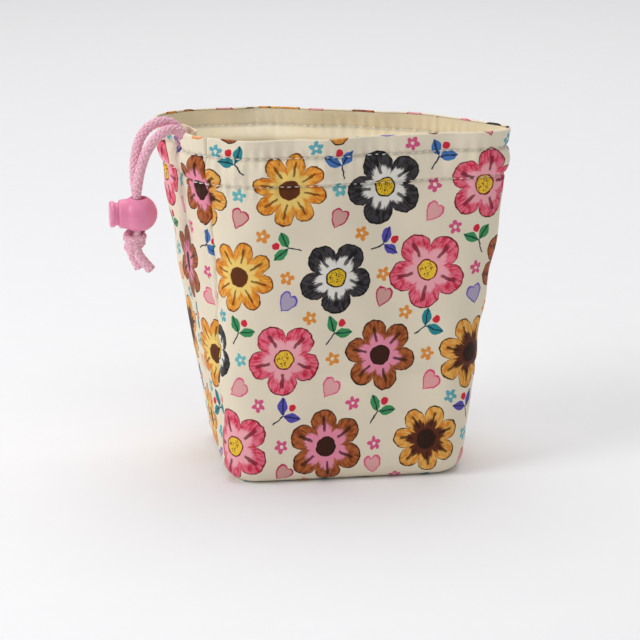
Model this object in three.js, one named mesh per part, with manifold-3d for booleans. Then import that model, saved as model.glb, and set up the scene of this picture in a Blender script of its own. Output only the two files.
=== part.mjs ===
// Drawstring bag for dice: a lined, printed cotton bag with a boxed base that stands open,
// a cord running round a sewn channel under the rim, and a ball cord lock with a push button
// hanging on the two cord ends. Millimetres, +Z up, the bag's front faces -Y.
import * as THREE from 'three';
import { mergeVertices } from 'three/addons/utils/BufferGeometryUtils.js';
import Module from 'manifold-3d';

// Bag outline
const BAG_HEIGHT = 160;
const MOUTH_WIDTH = 161;
const MOUTH_DEPTH = 83;
const MOUTH_SET_BACK = 6.1;
const BASE_WIDTH = 112;
const BASE_DEPTH = 88;
const BASE_SET_FORWARD = 4.4;
const BASE_CORNER_RADIUS = 15;
const BASE_EDGE_RADIUS = 7;
const SIDE_SEAM_FROM_FRONT = 24;
const WALL_BELLY = 0.16;

// Cloth layers
const OUTER_CLOTH = 0.8;
const LINING_CLOTH = 0.6;
const LAYER_GAP = 0.3;
const SEAM_GAP = 0.3;
const SEAM_END_INSET = 2;

// Header above the channel, and the channel that the cord runs in
const HEADER_HEIGHT = 8.5;
const CHANNEL_HEIGHT = 12.8;
const CHANNEL_PROUD = 1.2;
const CORD_DIAMETER = 5;
const CORD_CLEARANCE = 0.5;

// Opening in the top hem where both cord ends come out
const EXIT_FROM_SEAM = 20;
const EXIT_WIDTH = 15;
const EXIT_TAPER = 9;
const EXIT_DIP = 5;
const EXIT_SLACK = 1.4;
const LOOP_END_FROM_EXIT = 10;

// Folds of the cloth
const CREASE_HEIGHT = 50;
const CREASE_DEPTH = 1.1;
const CREASE_SPREAD = 7;
const RIPPLE_DEPTH = 0.9;
const RIPPLE_COUNT = 11;
const RIPPLE_REACH = 38;
const SIDE_FOLD_DEPTH = 3.2;
const SIDE_FOLD_SPREAD = 9;
const SIDE_FOLD_FROM_SEAM = 3;

// Facets of the cloth
const COLUMNS_PER_PANEL = 23;
const COLUMN_TURN_WEIGHT = 9;
const OUTLINE_SAMPLES = 480;

// Cord lock: a ball with a collar, a sprung plunger with a push button, and the cord hole across both
const LOCK_CENTRE = new THREE.Vector3(-91.5, -4, 121);
const CORD_PINCHED = 3.4;
const PINCHED_GAP = 0.1;
const PINCH_CLEARANCE = 0.4;
const PRESS_TRAVEL = 1.8;
const STEM_WALL = 1.1;
const STEM_CLEARANCE = 0.2;
const STEM_END_WALL = 1;
const BORE_END_CLEARANCE = 0.3;
const BALL_WALL = 1.1;
const COLLAR_REACH = 9.3;
const EDGE_ROUND = 0.8;
const BUTTON_DIAMETER = 12.2;
const BUTTON_THICKNESS = 2.3;
const BUTTON_STOP_GAP = 0.2;
const SPRING_WIRE = 0.6;
const SPRING_DIAMETER = 5.2;
const SPRING_TURNS = 3;
const SPRING_POCKET_CLEARANCE = 0.3;
const SPRING_SEAT_GAP = 0.2;
const SPRING_COIL_GAP = 0.65;

// Knot below the lock
const KNOT_WIDTH = 11.5;
const KNOT_HEIGHT = 7.8;
const KNOT_GAP = 0.3;
const KNOT_SHIFT = 1.4;

// Facets of the round pieces
const ROUND_SEGMENTS = 24;
const CORD_SIDES = 8;
const STRAND_STEPS = 26;
const TAIL_STEPS = 5;
const SPRING_STEPS_PER_TURN = 12;
const SPRING_SIDES = 5;

// Worked-out sizes
const MID_CHANNEL = BAG_HEIGHT - HEADER_HEIGHT - CHANNEL_HEIGHT / 2;
const UPPER_STITCH = BAG_HEIGHT - HEADER_HEIGHT;
const LOWER_STITCH = UPPER_STITCH - CHANNEL_HEIGHT;
const LINING_OFFSET = OUTER_CLOTH + LAYER_GAP;
const CORD_OFFSET = OUTER_CLOTH - CHANNEL_PROUD + CORD_CLEARANCE + CORD_DIAMETER / 2;
const POCKET_DEPTH = CORD_OFFSET + CORD_DIAMETER / 2 + CORD_CLEARANCE - LINING_OFFSET;
const HOLE_WIDTH = CORD_PINCHED + PRESS_TRAVEL + 2 * PINCH_CLEARANCE;
const HOLE_LENGTH = 2 * CORD_PINCHED + PINCHED_GAP + 4 * PINCH_CLEARANCE;
const CORD_IN_HOLE = PINCH_CLEARANCE + CORD_PINCHED / 2 - HOLE_WIDTH / 2;
const PAIR_SPREAD = (CORD_PINCHED + PINCHED_GAP) / 2;
const STEM_RADIUS = HOLE_LENGTH / 2 + STEM_WALL;
const BORE_RADIUS = STEM_RADIUS + STEM_CLEARANCE;
const STEM_END = HOLE_WIDTH / 2 - PRESS_TRAVEL + STEM_END_WALL;
const BORE_END = STEM_END + PRESS_TRAVEL + BORE_END_CLEARANCE;
const SPRING_RADIUS = (SPRING_DIAMETER - SPRING_WIRE) / 2;
const SPRING_LENGTH = SPRING_TURNS * (SPRING_WIRE + SPRING_COIL_GAP);
const POCKET_RADIUS = SPRING_DIAMETER / 2 + SPRING_POCKET_CLEARANCE;
const POCKET_END = STEM_END + SPRING_LENGTH + SPRING_WIRE + 2 * SPRING_SEAT_GAP;
const BALL_RADIUS = Math.max(Math.hypot(BORE_RADIUS, BORE_END), Math.hypot(POCKET_RADIUS, POCKET_END)) + BALL_WALL;
const COLLAR_RADIUS = BORE_RADIUS + BALL_WALL;
const BUTTON_BACK = COLLAR_REACH + PRESS_TRAVEL + BUTTON_STOP_GAP;
const CORD_AXIS_X = LOCK_CENTRE.x + CORD_IN_HOLE;
const KNOT_TOP = LOCK_CENTRE.z - BALL_RADIUS - KNOT_GAP;

// Mouth outline seen from above, as shares of its half width and half depth, from the left
// side seam along the front, round the pinched right end and back along the rear
const MOUTH_OUTLINE = [
  [-0.83, -0.67],
  [-0.57, -0.96],
  [-0.1, -1.0],
  [0.48, -0.84],
  [0.845, -0.8],
  [0.965, -0.725],
  [1.005, -0.55],
  [0.925, -0.32],
  [0.64, 0.22],
  [0.22, 0.66],
  [-0.47, 1.0],
  [-0.9, 0.86],
  [-0.99, 0.62],
  [-0.92, -0.05],
];

// The two cord ends from the channel up over the dipped hem and down to the top of the lock
const FRONT_STRAND_ROUTE = [
  [-68.0, -10.5, 145.1],
  [-68.1, -8.6, 145.7],
  [-68.2, -6.2, 149.6],
  [-68.2, -5.3, 154.4],
  [-69.4, -5.2, 157.7],
  [-72.6, -5.5, 159.4],
  [-76.2, -5.9, 159.8],
  [-80.2, -6.2, 158.2],
  [-84.0, -6.4, 154.8],
  [-87.0, -6.5, 150.0],
  [-89.1, -6.6, 144.4],
  [-90.8, -6.6, 138.6],
];
const REAR_STRAND_ROUTE = [
  [-69.9, 6.3, 145.1],
  [-69.4, 4.5, 145.7],
  [-68.8, 2.0, 149.8],
  [-69.2, 0.8, 155.0],
  [-70.6, 0.2, 159.3],
  [-73.6, -0.2, 162.6],
  [-78.0, -0.6, 164.4],
  [-83.0, -0.9, 163.6],
  [-87.4, -1.1, 160.4],
  [-90.6, -1.2, 155.0],
  [-92.3, -1.3, 147.6],
  [-92.8, -1.4, 138.8],
];
const FRONT_TAIL_ROUTE = [
  [-93.4, -5.8, 107.5],
  [-92.4, -6.6, 102.6],
  [-89.8, -6.9, 98.6],
  [-86.6, -7.0, 94.8],
];
const REAR_TAIL_ROUTE = [
  [-95.2, -3.0, 107.5],
  [-95.0, -2.6, 102.6],
  [-93.6, -2.5, 98.6],
  [-91.8, -2.4, 94.8],
];

const printedCotton = new THREE.MeshStandardMaterial({ color: 0xeae1ce, roughness: 0.9, metalness: 0 });
const liningCotton = new THREE.MeshStandardMaterial({ color: 0xe6d3ae, roughness: 0.92, metalness: 0 });
const pinkCord = new THREE.MeshStandardMaterial({ color: 0xe9adc2, roughness: 0.85, metalness: 0 });
const pinkPlastic = new THREE.MeshStandardMaterial({ color: 0xe38bac, roughness: 0.38, metalness: 0 });
const springSteel = new THREE.MeshStandardMaterial({ color: 0xb9bcc0, roughness: 0.3, metalness: 1 });

const wasm = await Module();
wasm.setup();

// Outlines of the base and the mouth

function makeMouthOutline() {
  const corners = MOUTH_OUTLINE.map(
    ([x, y]) => new THREE.Vector3((x * MOUTH_WIDTH) / 2, MOUTH_SET_BACK + (y * MOUTH_DEPTH) / 2, 0),
  );
  const outline = new THREE.CatmullRomCurve3(corners, true, 'centripetal');
  outline.arcLengthDivisions = 2 * OUTLINE_SAMPLES;
  return outline;
}

function makeBaseOutline() {
  const half = BASE_WIDTH / 2;
  const front = -BASE_SET_FORWARD - BASE_DEPTH / 2;
  const back = front + BASE_DEPTH;
  const r = BASE_CORNER_RADIUS;
  const seam = front + SIDE_SEAM_FROM_FRONT;
  const outline = new THREE.Path();
  outline.moveTo(-half, seam);
  outline.lineTo(-half, front + r);
  outline.absarc(-half + r, front + r, r, Math.PI, 1.5 * Math.PI);
  outline.lineTo(half - r, front);
  outline.absarc(half - r, front + r, r, 1.5 * Math.PI, 2 * Math.PI);
  outline.lineTo(half, back - r);
  outline.absarc(half - r, back - r, r, 0, 0.5 * Math.PI);
  outline.lineTo(-half + r, back);
  outline.absarc(-half + r, back - r, r, 0.5 * Math.PI, Math.PI);
  outline.lineTo(-half, seam);
  return outline;
}

const mouthOutline = makeMouthOutline();
const baseOutline = makeBaseOutline();
const mouthLength = mouthOutline.getLength();

function wrap(u) {
  return u - Math.floor(u);
}

function mouthPoint(u) {
  const point = mouthOutline.getPointAt(wrap(u));
  return new THREE.Vector2(point.x, point.y);
}

function basePoint(u) {
  const point = baseOutline.getPoint(wrap(u));
  return new THREE.Vector2(point.x, point.y);
}

// Both outlines run anticlockwise, so inward is to the left of the way they run
function inwardNormal(pointAt, u) {
  const step = 0.5 / OUTLINE_SAMPLES;
  const along = pointAt(u + step).sub(pointAt(u - step));
  return new THREE.Vector2(-along.y, along.x).normalize();
}

// Panel columns: closer together where either outline turns
function panelColumns(start, end) {
  const totals = [0];
  for (let k = 1; k <= OUTLINE_SAMPLES; k += 1) {
    const before = start + ((end - start) * (k - 1)) / OUTLINE_SAMPLES;
    const after = start + ((end - start) * k) / OUTLINE_SAMPLES;
    let weight = COLUMNS_PER_PANEL / OUTLINE_SAMPLES;
    for (const pointAt of [mouthPoint, basePoint]) {
      const turn = inwardNormal(pointAt, before).angleTo(inwardNormal(pointAt, after));
      weight += (turn * COLUMN_TURN_WEIGHT) / Math.PI;
    }
    totals.push(totals[k - 1] + weight);
  }
  const columns = [];
  for (let i = 0; i <= COLUMNS_PER_PANEL; i += 1) {
    const wanted = (totals[OUTLINE_SAMPLES] * i) / COLUMNS_PER_PANEL;
    let k = totals.findIndex((total) => total >= wanted - 1e-9);
    k = Math.max(k, 1);
    const share = (wanted - totals[k - 1]) / (totals[k] - totals[k - 1]);
    columns.push(start + ((end - start) * (k - 1 + share)) / OUTLINE_SAMPLES);
  }
  const exitEdges = [-1, 1].map((side) => exitCentre() + (side * EXIT_WIDTH) / 2 / mouthLength);
  columns.push(...exitEdges.filter((u) => u > start && u < end));
  return columns.sort((a, b) => a - b);
}

// Folds and bulges of the wall

function bell(x, spread) {
  return Math.exp(-((x / spread) ** 2));
}

function exitCentre() {
  return 1 - EXIT_FROM_SEAM / mouthLength;
}

// 1 at the middle of the cord's way out, falling to 0 at its ends
function exitShare(u) {
  const away = Math.abs(wrap(u + 0.5) - exitCentre() + 0.5) * mouthLength;
  return 1 - THREE.MathUtils.smoothstep(away, EXIT_WIDTH / 2, EXIT_WIDTH / 2 + EXIT_TAPER);
}

// 1 at the middle of the channel, 0 at both rows of stitching
function channelShare(z) {
  const away = Math.abs(z - MID_CHANNEL);
  return away < CHANNEL_HEIGHT / 2 ? Math.cos((Math.PI * away) / CHANNEL_HEIGHT) : 0;
}

function foldDepth(u, z) {
  const seamAway = (wrap(u + 0.5) - 0.5) * mouthLength - SIDE_FOLD_FROM_SEAM;
  const front = THREE.MathUtils.smoothstep(u, 0.03, 0.1) * (1 - THREE.MathUtils.smoothstep(u, 0.28, 0.36));
  const crease = CREASE_DEPTH * bell(z - CREASE_HEIGHT, CREASE_SPREAD) * front;
  const nearRim = THREE.MathUtils.smoothstep(z, BAG_HEIGHT - RIPPLE_REACH, BAG_HEIGHT);
  const ripple = RIPPLE_DEPTH * nearRim * Math.sin(2 * Math.PI * RIPPLE_COUNT * u);
  const low = Math.sin(Math.PI * THREE.MathUtils.clamp(z / LOWER_STITCH, 0, 1));
  const sideFold = SIDE_FOLD_DEPTH * bell(seamAway, SIDE_FOLD_SPREAD) * low;
  return crease + ripple + sideFold;
}

function outerBulge(u, z) {
  return -CHANNEL_PROUD * channelShare(z);
}

// The lining stands off the outer cloth along the channel, and up to the rim at the cord's way out
function liningPocket(u, z) {
  const above = z > MID_CHANNEL ? exitShare(u) : 0;
  return POCKET_DEPTH * Math.max(channelShare(z), above) + EXIT_SLACK * above;
}

// A point of the wall at a height, set in from the cloth's outer face
function wallPoint(u, z, setIn) {
  const share = z / BAG_HEIGHT;
  const spread = share + WALL_BELLY * share * (1 - share);
  const plan = basePoint(u).lerp(mouthPoint(u), spread);
  const inward = inwardNormal(basePoint, u).lerp(inwardNormal(mouthPoint, u), share).normalize();
  plan.addScaledVector(inward, setIn);
  return new THREE.Vector3(plan.x, plan.y, z);
}

// Rows of a panel from the bottom seam over the rounded base edge and up to the rim

const FLOOR_SHARES = [0, 0.5];
const EDGE_ANGLES = [90, 45, 0];
const WALL_HEIGHTS = [
  CREASE_HEIGHT - 2 * CREASE_SPREAD,
  CREASE_HEIGHT - CREASE_SPREAD,
  CREASE_HEIGHT,
  CREASE_HEIGHT + CREASE_SPREAD,
  CREASE_HEIGHT + 2 * CREASE_SPREAD,
  (CREASE_HEIGHT + LOWER_STITCH) / 2,
  (CREASE_HEIGHT + 3 * LOWER_STITCH) / 4,
  LOWER_STITCH - CHANNEL_HEIGHT / 4,
  LOWER_STITCH,
  MID_CHANNEL - CHANNEL_HEIGHT / 4,
  MID_CHANNEL,
  MID_CHANNEL + CHANNEL_HEIGHT / 4,
  UPPER_STITCH,
];
const HEADER_SHARES = [0.5, 1];
const ROW_COUNT = FLOOR_SHARES.length + EDGE_ANGLES.length + WALL_HEIGHTS.length + HEADER_SHARES.length;

// Bottom seam from the left side seam to the right one, with half the seam gap to one side of it
function bottomSeamPoint(share, side) {
  const ends = [0, 0.5].map((u) => {
    const inset = BASE_EDGE_RADIUS + SEAM_END_INSET;
    return basePoint(u).addScaledVector(inwardNormal(basePoint, u), inset);
  });
  const along = ends[1].clone().sub(ends[0]).normalize();
  const across = new THREE.Vector2(along.y, -along.x);
  return ends[0].lerp(ends[1], share).addScaledVector(across, (side * SEAM_GAP) / 2);
}

// side is 1 for the front panel and -1 for the back one
function panelPoint(u, row, setIn, bulge, dip, side) {
  let step = row;
  if (step < FLOOR_SHARES.length) {
    const across = side > 0 ? u * 2 : (1 - u) * 2;
    const seam = bottomSeamPoint(across, side);
    const edge = basePoint(u).addScaledVector(inwardNormal(basePoint, u), BASE_EDGE_RADIUS);
    const plan = seam.lerp(edge, FLOOR_SHARES[step]);
    return new THREE.Vector3(plan.x, plan.y, setIn);
  }
  step -= FLOOR_SHARES.length;
  if (step < EDGE_ANGLES.length) {
    const angle = THREE.MathUtils.degToRad(EDGE_ANGLES[step]);
    const radius = BASE_EDGE_RADIUS - setIn;
    const z = BASE_EDGE_RADIUS - radius * Math.sin(angle);
    const point = wallPoint(u, BASE_EDGE_RADIUS * Math.cos(angle), BASE_EDGE_RADIUS - radius * Math.cos(angle));
    return point.setZ(z);
  }
  step -= EDGE_ANGLES.length;
  let z = WALL_HEIGHTS[step];
  if (step >= WALL_HEIGHTS.length) {
    const rim = BAG_HEIGHT - dip * exitShare(u);
    z = THREE.MathUtils.lerp(UPPER_STITCH, rim, HEADER_SHARES[step - WALL_HEIGHTS.length]);
  }
  return wallPoint(u, z, setIn + foldDepth(u, z) + bulge(u, z));
}

// A closed sheet: outer grid, inner grid and the strip round their edges
function sheetGeometry(columnCount, rowCount, pointAt) {
  const positions = [];
  for (const face of [0, 1]) {
    for (let j = 0; j < rowCount; j += 1) {
      for (let i = 0; i < columnCount; i += 1) {
        positions.push(...pointAt(i, j, face).toArray());
      }
    }
  }
  const index = [];
  const inner = columnCount * rowCount;
  const at = (i, j) => j * columnCount + i;
  for (let j = 0; j < rowCount - 1; j += 1) {
    for (let i = 0; i < columnCount - 1; i += 1) {
      const [a, b, c, d] = [at(i, j), at(i + 1, j), at(i + 1, j + 1), at(i, j + 1)];
      index.push(a, b, c, a, c, d);
      index.push(inner + a, inner + c, inner + b, inner + a, inner + d, inner + c);
    }
  }
  const border = [];
  for (let i = 0; i < columnCount - 1; i += 1) border.push(at(i, 0));
  for (let j = 0; j < rowCount - 1; j += 1) border.push(at(columnCount - 1, j));
  for (let i = columnCount - 1; i > 0; i -= 1) border.push(at(i, rowCount - 1));
  for (let j = rowCount - 1; j > 0; j -= 1) border.push(at(0, j));
  border.forEach((a, k) => {
    const b = border[(k + 1) % border.length];
    index.push(b, a, inner + a, b, inner + a, inner + b);
  });
  const geometry = new THREE.BufferGeometry();
  geometry.setAttribute('position', new THREE.Float32BufferAttribute(positions, 3));
  geometry.setIndex(index);
  geometry.computeVertexNormals();
  return geometry;
}

function panelSpan(side) {
  const half = SEAM_GAP / 2 / baseOutline.getLength();
  return side > 0 ? [half, 0.5 - half] : [0.5 + half, 1 - half];
}

function clothPanel(side, offset, thickness, bulge, dip) {
  const columns = panelColumns(...panelSpan(side));
  return sheetGeometry(columns.length, ROW_COUNT, (i, j, face) =>
    panelPoint(columns[i], j, offset + face * thickness, bulge, dip, side),
  );
}

// Round-section solids that follow a curve: rings of points joined up and closed at both ends

function sweptTube(centres, sides, radiusAt) {
  const positions = [];
  const index = [];
  const steps = centres.length - 1;
  const across = new THREE.Vector3(0, 0, 1);
  centres.forEach((centre, k) => {
    const before = centres[Math.max(k - 1, 0)];
    const after = centres[Math.min(k + 1, steps)];
    const along = after.clone().sub(before).normalize();
    if (k === 0 && Math.abs(along.dot(across)) > 0.9) across.set(1, 0, 0);
    across.addScaledVector(along, -across.dot(along)).normalize();
    const third = along.clone().cross(across);
    const radius = radiusAt(centre);
    for (let s = 0; s < sides; s += 1) {
      const angle = (2 * Math.PI * (s + 0.5)) / sides;
      const point = centre.clone();
      point.addScaledVector(across, radius * Math.cos(angle));
      point.addScaledVector(third, radius * Math.sin(angle));
      positions.push(...point.toArray());
    }
  });
  for (let k = 0; k < steps; k += 1) {
    for (let s = 0; s < sides; s += 1) {
      const a = k * sides + s;
      const b = k * sides + ((s + 1) % sides);
      index.push(a, b, b + sides, a, b + sides, a + sides);
    }
  }
  for (let s = 1; s < sides - 1; s += 1) {
    const last = steps * sides;
    index.push(0, s + 1, s, last, last + s, last + s + 1);
  }
  const geometry = new THREE.BufferGeometry();
  geometry.setAttribute('position', new THREE.Float32BufferAttribute(positions, 3));
  geometry.setIndex(index);
  geometry.computeVertexNormals();
  return geometry;
}

function smoothRoute(points, steps) {
  const curve = new THREE.CatmullRomCurve3(points.map((point) => new THREE.Vector3(...point)));
  curve.arcLengthDivisions = OUTLINE_SAMPLES;
  return curve.getSpacedPoints(steps);
}

// Joining and cutting

function toSolid(geometry) {
  const bare = geometry.clone();
  bare.deleteAttribute('normal');
  bare.deleteAttribute('uv');
  const merged = mergeVertices(bare, 1e-4);
  return new wasm.Manifold(
    new wasm.Mesh({
      numProp: 3,
      vertProperties: new Float32Array(merged.attributes.position.array),
      triVerts: new Uint32Array(merged.index.array),
    }),
  );
}

function fromSolid(solid) {
  const mesh = solid.getMesh();
  const geometry = new THREE.BufferGeometry();
  geometry.setAttribute('position', new THREE.Float32BufferAttribute(mesh.vertProperties, 3));
  geometry.setIndex(Array.from(mesh.triVerts));
  geometry.computeVertexNormals();
  return geometry;
}

// Cord

function makeLoop() {
  const end = LOOP_END_FROM_EXIT / mouthLength;
  const first = exitCentre() + end - 1;
  const last = exitCentre() - end;
  const rear = panelColumns(...panelSpan(-1));
  const columns = [...rear.map((u) => u - 1), ...panelColumns(...panelSpan(1)), ...rear];
  const apart = 2 * SEAM_GAP / mouthLength;
  const inside = columns.filter((u, k) => u > first + end / 4 && u < last - end / 4 && u - columns[k - 1] > apart);
  const centres = [first, ...inside, last].map((u) =>
    wallPoint(u, MID_CHANNEL, CORD_OFFSET + foldDepth(u, MID_CHANNEL)),
  );
  return sweptTube(centres, CORD_SIDES, () => CORD_DIAMETER / 2);
}

// The cord is full round above the lock and squeezed flat where the plunger holds it
function strandRadius(centre) {
  const above = LOCK_CENTRE.z + BALL_RADIUS;
  const share = THREE.MathUtils.smoothstep(centre.z, above, above + 1.6 * CORD_DIAMETER);
  return THREE.MathUtils.lerp(CORD_PINCHED, CORD_DIAMETER, share) / 2;
}

function makeStrand(route, side) {
  const y = LOCK_CENTRE.y + side * PAIR_SPREAD;
  const throughLock = [
    [CORD_AXIS_X, y, LOCK_CENTRE.z + BALL_RADIUS + 1],
    [CORD_AXIS_X, y, LOCK_CENTRE.z],
    [CORD_AXIS_X, y, KNOT_TOP + KNOT_GAP],
  ];
  return sweptTube(smoothRoute([...route, ...throughLock], STRAND_STEPS), CORD_SIDES, strandRadius);
}

function makeKnot() {
  const profile = [new THREE.Vector2(0, -KNOT_HEIGHT / 2)];
  for (let k = 1; k < 6; k += 1) {
    const angle = -Math.PI / 2 + (Math.PI * k) / 6;
    profile.push(new THREE.Vector2((KNOT_WIDTH / 2) * Math.cos(angle) ** 0.7, (KNOT_HEIGHT / 2) * Math.sin(angle)));
  }
  profile.push(new THREE.Vector2(CORD_PINCHED, KNOT_HEIGHT / 2), new THREE.Vector2(0, KNOT_HEIGHT / 2));
  const ball = new THREE.LatheGeometry(profile, ROUND_SEGMENTS / 2);
  ball.rotateX(Math.PI / 2);
  ball.translate(CORD_AXIS_X - KNOT_SHIFT, LOCK_CENTRE.y, KNOT_TOP - KNOT_HEIGHT / 2);
  let knot = toSolid(ball);
  for (const route of [FRONT_TAIL_ROUTE, REAR_TAIL_ROUTE]) {
    const tail = sweptTube(smoothRoute(route, TAIL_STEPS), CORD_SIDES, () => CORD_DIAMETER / 2);
    knot = knot.add(toSolid(tail));
  }
  return fromSolid(knot);
}

// Cord lock, turned about its own axis with the button at +Y, then laid with the button towards -X

function layLock(geometry) {
  geometry.rotateZ(Math.PI / 2);
  geometry.translate(LOCK_CENTRE.x, LOCK_CENTRE.y, LOCK_CENTRE.z);
  return geometry;
}

function turned(points) {
  return new THREE.LatheGeometry(points.map(([r, y]) => new THREE.Vector2(r, y)), ROUND_SEGMENTS);
}

// Upright hole with round ends for the pair of cords, centred at a place along the lock's axis
function cordHole(along) {
  const r = HOLE_WIDTH / 2;
  const straight = HOLE_LENGTH / 2 - r;
  const section = new THREE.Shape();
  section.absarc(straight, 0, r, -Math.PI / 2, Math.PI / 2);
  section.absarc(-straight, 0, r, Math.PI / 2, 1.5 * Math.PI);
  section.closePath();
  const reach = 2 * BALL_RADIUS;
  const hole = new THREE.ExtrudeGeometry(section, { depth: 2 * reach, bevelEnabled: false, curveSegments: 7 });
  hole.translate(0, along, -reach);
  return toSolid(hole);
}

function makeLockBody() {
  const arcEnd = Math.asin(Math.min(COLLAR_RADIUS / BALL_RADIUS, 0.98));
  const outline = [];
  const arcSteps = 9;
  for (let k = 0; k <= arcSteps; k += 1) {
    const angle = ((Math.PI - arcEnd) * k) / arcSteps;
    outline.push([k === 0 ? 0 : BALL_RADIUS * Math.sin(angle), -BALL_RADIUS * Math.cos(angle)]);
  }
  outline.push([COLLAR_RADIUS, COLLAR_REACH - EDGE_ROUND]);
  outline.push([COLLAR_RADIUS - 0.3 * EDGE_ROUND, COLLAR_REACH - 0.3 * EDGE_ROUND]);
  outline.push([COLLAR_RADIUS - EDGE_ROUND, COLLAR_REACH]);
  outline.push([BORE_RADIUS, COLLAR_REACH]);
  outline.push([BORE_RADIUS, -BORE_END]);
  outline.push([POCKET_RADIUS, -BORE_END]);
  outline.push([POCKET_RADIUS, -POCKET_END]);
  outline.push([0, -POCKET_END]);
  const body = toSolid(turned(outline)).subtract(cordHole(0));
  return layLock(fromSolid(body));
}

function makePlunger() {
  const r = BUTTON_DIAMETER / 2;
  const top = BUTTON_BACK + BUTTON_THICKNESS;
  const outline = [
    [0, -STEM_END],
    [STEM_RADIUS, -STEM_END],
    [STEM_RADIUS, BUTTON_BACK],
    [r - EDGE_ROUND / 2, BUTTON_BACK],
    [r, BUTTON_BACK + EDGE_ROUND / 2],
    [r, top - EDGE_ROUND],
    [r - 0.3 * EDGE_ROUND, top - 0.3 * EDGE_ROUND],
    [r - EDGE_ROUND, top],
    [0, top],
  ];
  const plunger = toSolid(turned(outline)).subtract(cordHole(PRESS_TRAVEL));
  return layLock(fromSolid(plunger));
}

function makeSpring() {
  const steps = SPRING_TURNS * SPRING_STEPS_PER_TURN;
  const start = STEM_END + SPRING_SEAT_GAP + SPRING_WIRE / 2;
  const centres = [];
  for (let k = 0; k <= steps; k += 1) {
    const angle = (2 * Math.PI * k) / SPRING_STEPS_PER_TURN;
    const along = -start - (SPRING_LENGTH * k) / steps;
    centres.push(new THREE.Vector3(SPRING_RADIUS * Math.cos(angle), along, SPRING_RADIUS * Math.sin(angle)));
  }
  return layLock(sweptTube(centres, SPRING_SIDES, () => SPRING_WIRE / 2));
}

function addPiece(group, name, geometry, material) {
  const mesh = new THREE.Mesh(geometry, material);
  mesh.name = name;
  group.add(mesh);
}

const bag = new THREE.Group();
addPiece(bag, 'outer_front_panel', clothPanel(1, 0, OUTER_CLOTH, outerBulge, 0), printedCotton);
addPiece(bag, 'outer_back_panel', clothPanel(-1, 0, OUTER_CLOTH, outerBulge, EXIT_DIP), printedCotton);
addPiece(bag, 'lining_front_panel', clothPanel(1, LINING_OFFSET, LINING_CLOTH, liningPocket, 0), liningCotton);
addPiece(bag, 'lining_back_panel', clothPanel(-1, LINING_OFFSET, LINING_CLOTH, liningPocket, 0), liningCotton);
addPiece(bag, 'drawstring_loop', makeLoop(), pinkCord);
addPiece(bag, 'drawstring_front_strand', makeStrand(FRONT_STRAND_ROUTE, -1), pinkCord);
addPiece(bag, 'drawstring_rear_strand', makeStrand(REAR_STRAND_ROUTE, 1), pinkCord);
addPiece(bag, 'drawstring_knot', makeKnot(), pinkCord);
addPiece(bag, 'cord_lock_body', makeLockBody(), pinkPlastic);
addPiece(bag, 'cord_lock_plunger', makePlunger(), pinkPlastic);
addPiece(bag, 'cord_lock_spring', makeSpring(), springSteel);

export default bag;
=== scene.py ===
"""Drawstring dice bag: printed cotton outside, cream lining, sewn channel, braided cord and ball lock."""
import math

import bmesh
import bpy
import numpy as np
from mathutils import Matrix, Vector


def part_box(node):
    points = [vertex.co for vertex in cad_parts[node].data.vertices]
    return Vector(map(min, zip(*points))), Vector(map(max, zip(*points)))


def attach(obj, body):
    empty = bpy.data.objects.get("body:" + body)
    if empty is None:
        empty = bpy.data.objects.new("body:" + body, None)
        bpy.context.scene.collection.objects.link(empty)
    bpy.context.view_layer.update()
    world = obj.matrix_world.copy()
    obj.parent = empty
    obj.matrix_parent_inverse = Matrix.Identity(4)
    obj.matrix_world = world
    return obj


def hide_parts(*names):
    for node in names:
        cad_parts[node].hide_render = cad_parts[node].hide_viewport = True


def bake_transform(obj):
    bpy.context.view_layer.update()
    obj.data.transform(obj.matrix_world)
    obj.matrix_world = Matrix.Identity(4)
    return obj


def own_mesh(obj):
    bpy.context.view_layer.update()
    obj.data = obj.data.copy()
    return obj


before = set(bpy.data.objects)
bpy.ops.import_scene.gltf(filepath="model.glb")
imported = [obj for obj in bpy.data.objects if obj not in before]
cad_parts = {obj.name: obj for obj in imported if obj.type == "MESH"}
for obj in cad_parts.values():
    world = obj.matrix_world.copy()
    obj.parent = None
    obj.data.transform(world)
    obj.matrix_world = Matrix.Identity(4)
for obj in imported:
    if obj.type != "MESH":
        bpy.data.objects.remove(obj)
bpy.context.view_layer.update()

# Camera, placed as the photograph was taken
CAMERA_PLACE = (-0.1566, -1.0569, 0.3712)
CAMERA_TARGET = (-0.0076, -0.0100, 0.0680)
CAMERA_LENS_MM = 131.2

# Bag outline, in metres
BAG_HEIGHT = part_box("outer_front_panel")[1].z
MOUTH_WIDTH = 0.161
MOUTH_DEPTH = 0.083
MOUTH_SET_BACK = 0.0061
BASE_WIDTH = 0.112
BASE_DEPTH = 0.088
BASE_SET_FORWARD = 0.0044
BASE_CORNER_RADIUS = 0.015
BASE_EDGE_RADIUS = 0.009
SIDE_SEAM_FROM_FRONT = 0.024
SEAM_END_INSET = 0.002
WALL_BELLY_SHARE = 0.16
MOUTH_OUTLINE = [
    (-0.83, -0.67),
    (-0.57, -0.96),
    (-0.1, -1.0),
    (0.48, -0.84),
    (0.845, -0.8),
    (0.965, -0.725),
    (1.005, -0.55),
    (0.925, -0.32),
    (0.64, 0.22),
    (0.22, 0.66),
    (-0.47, 1.0),
    (-0.9, 0.86),
    (-0.99, 0.62),
    (-0.92, -0.05),
]

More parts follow.
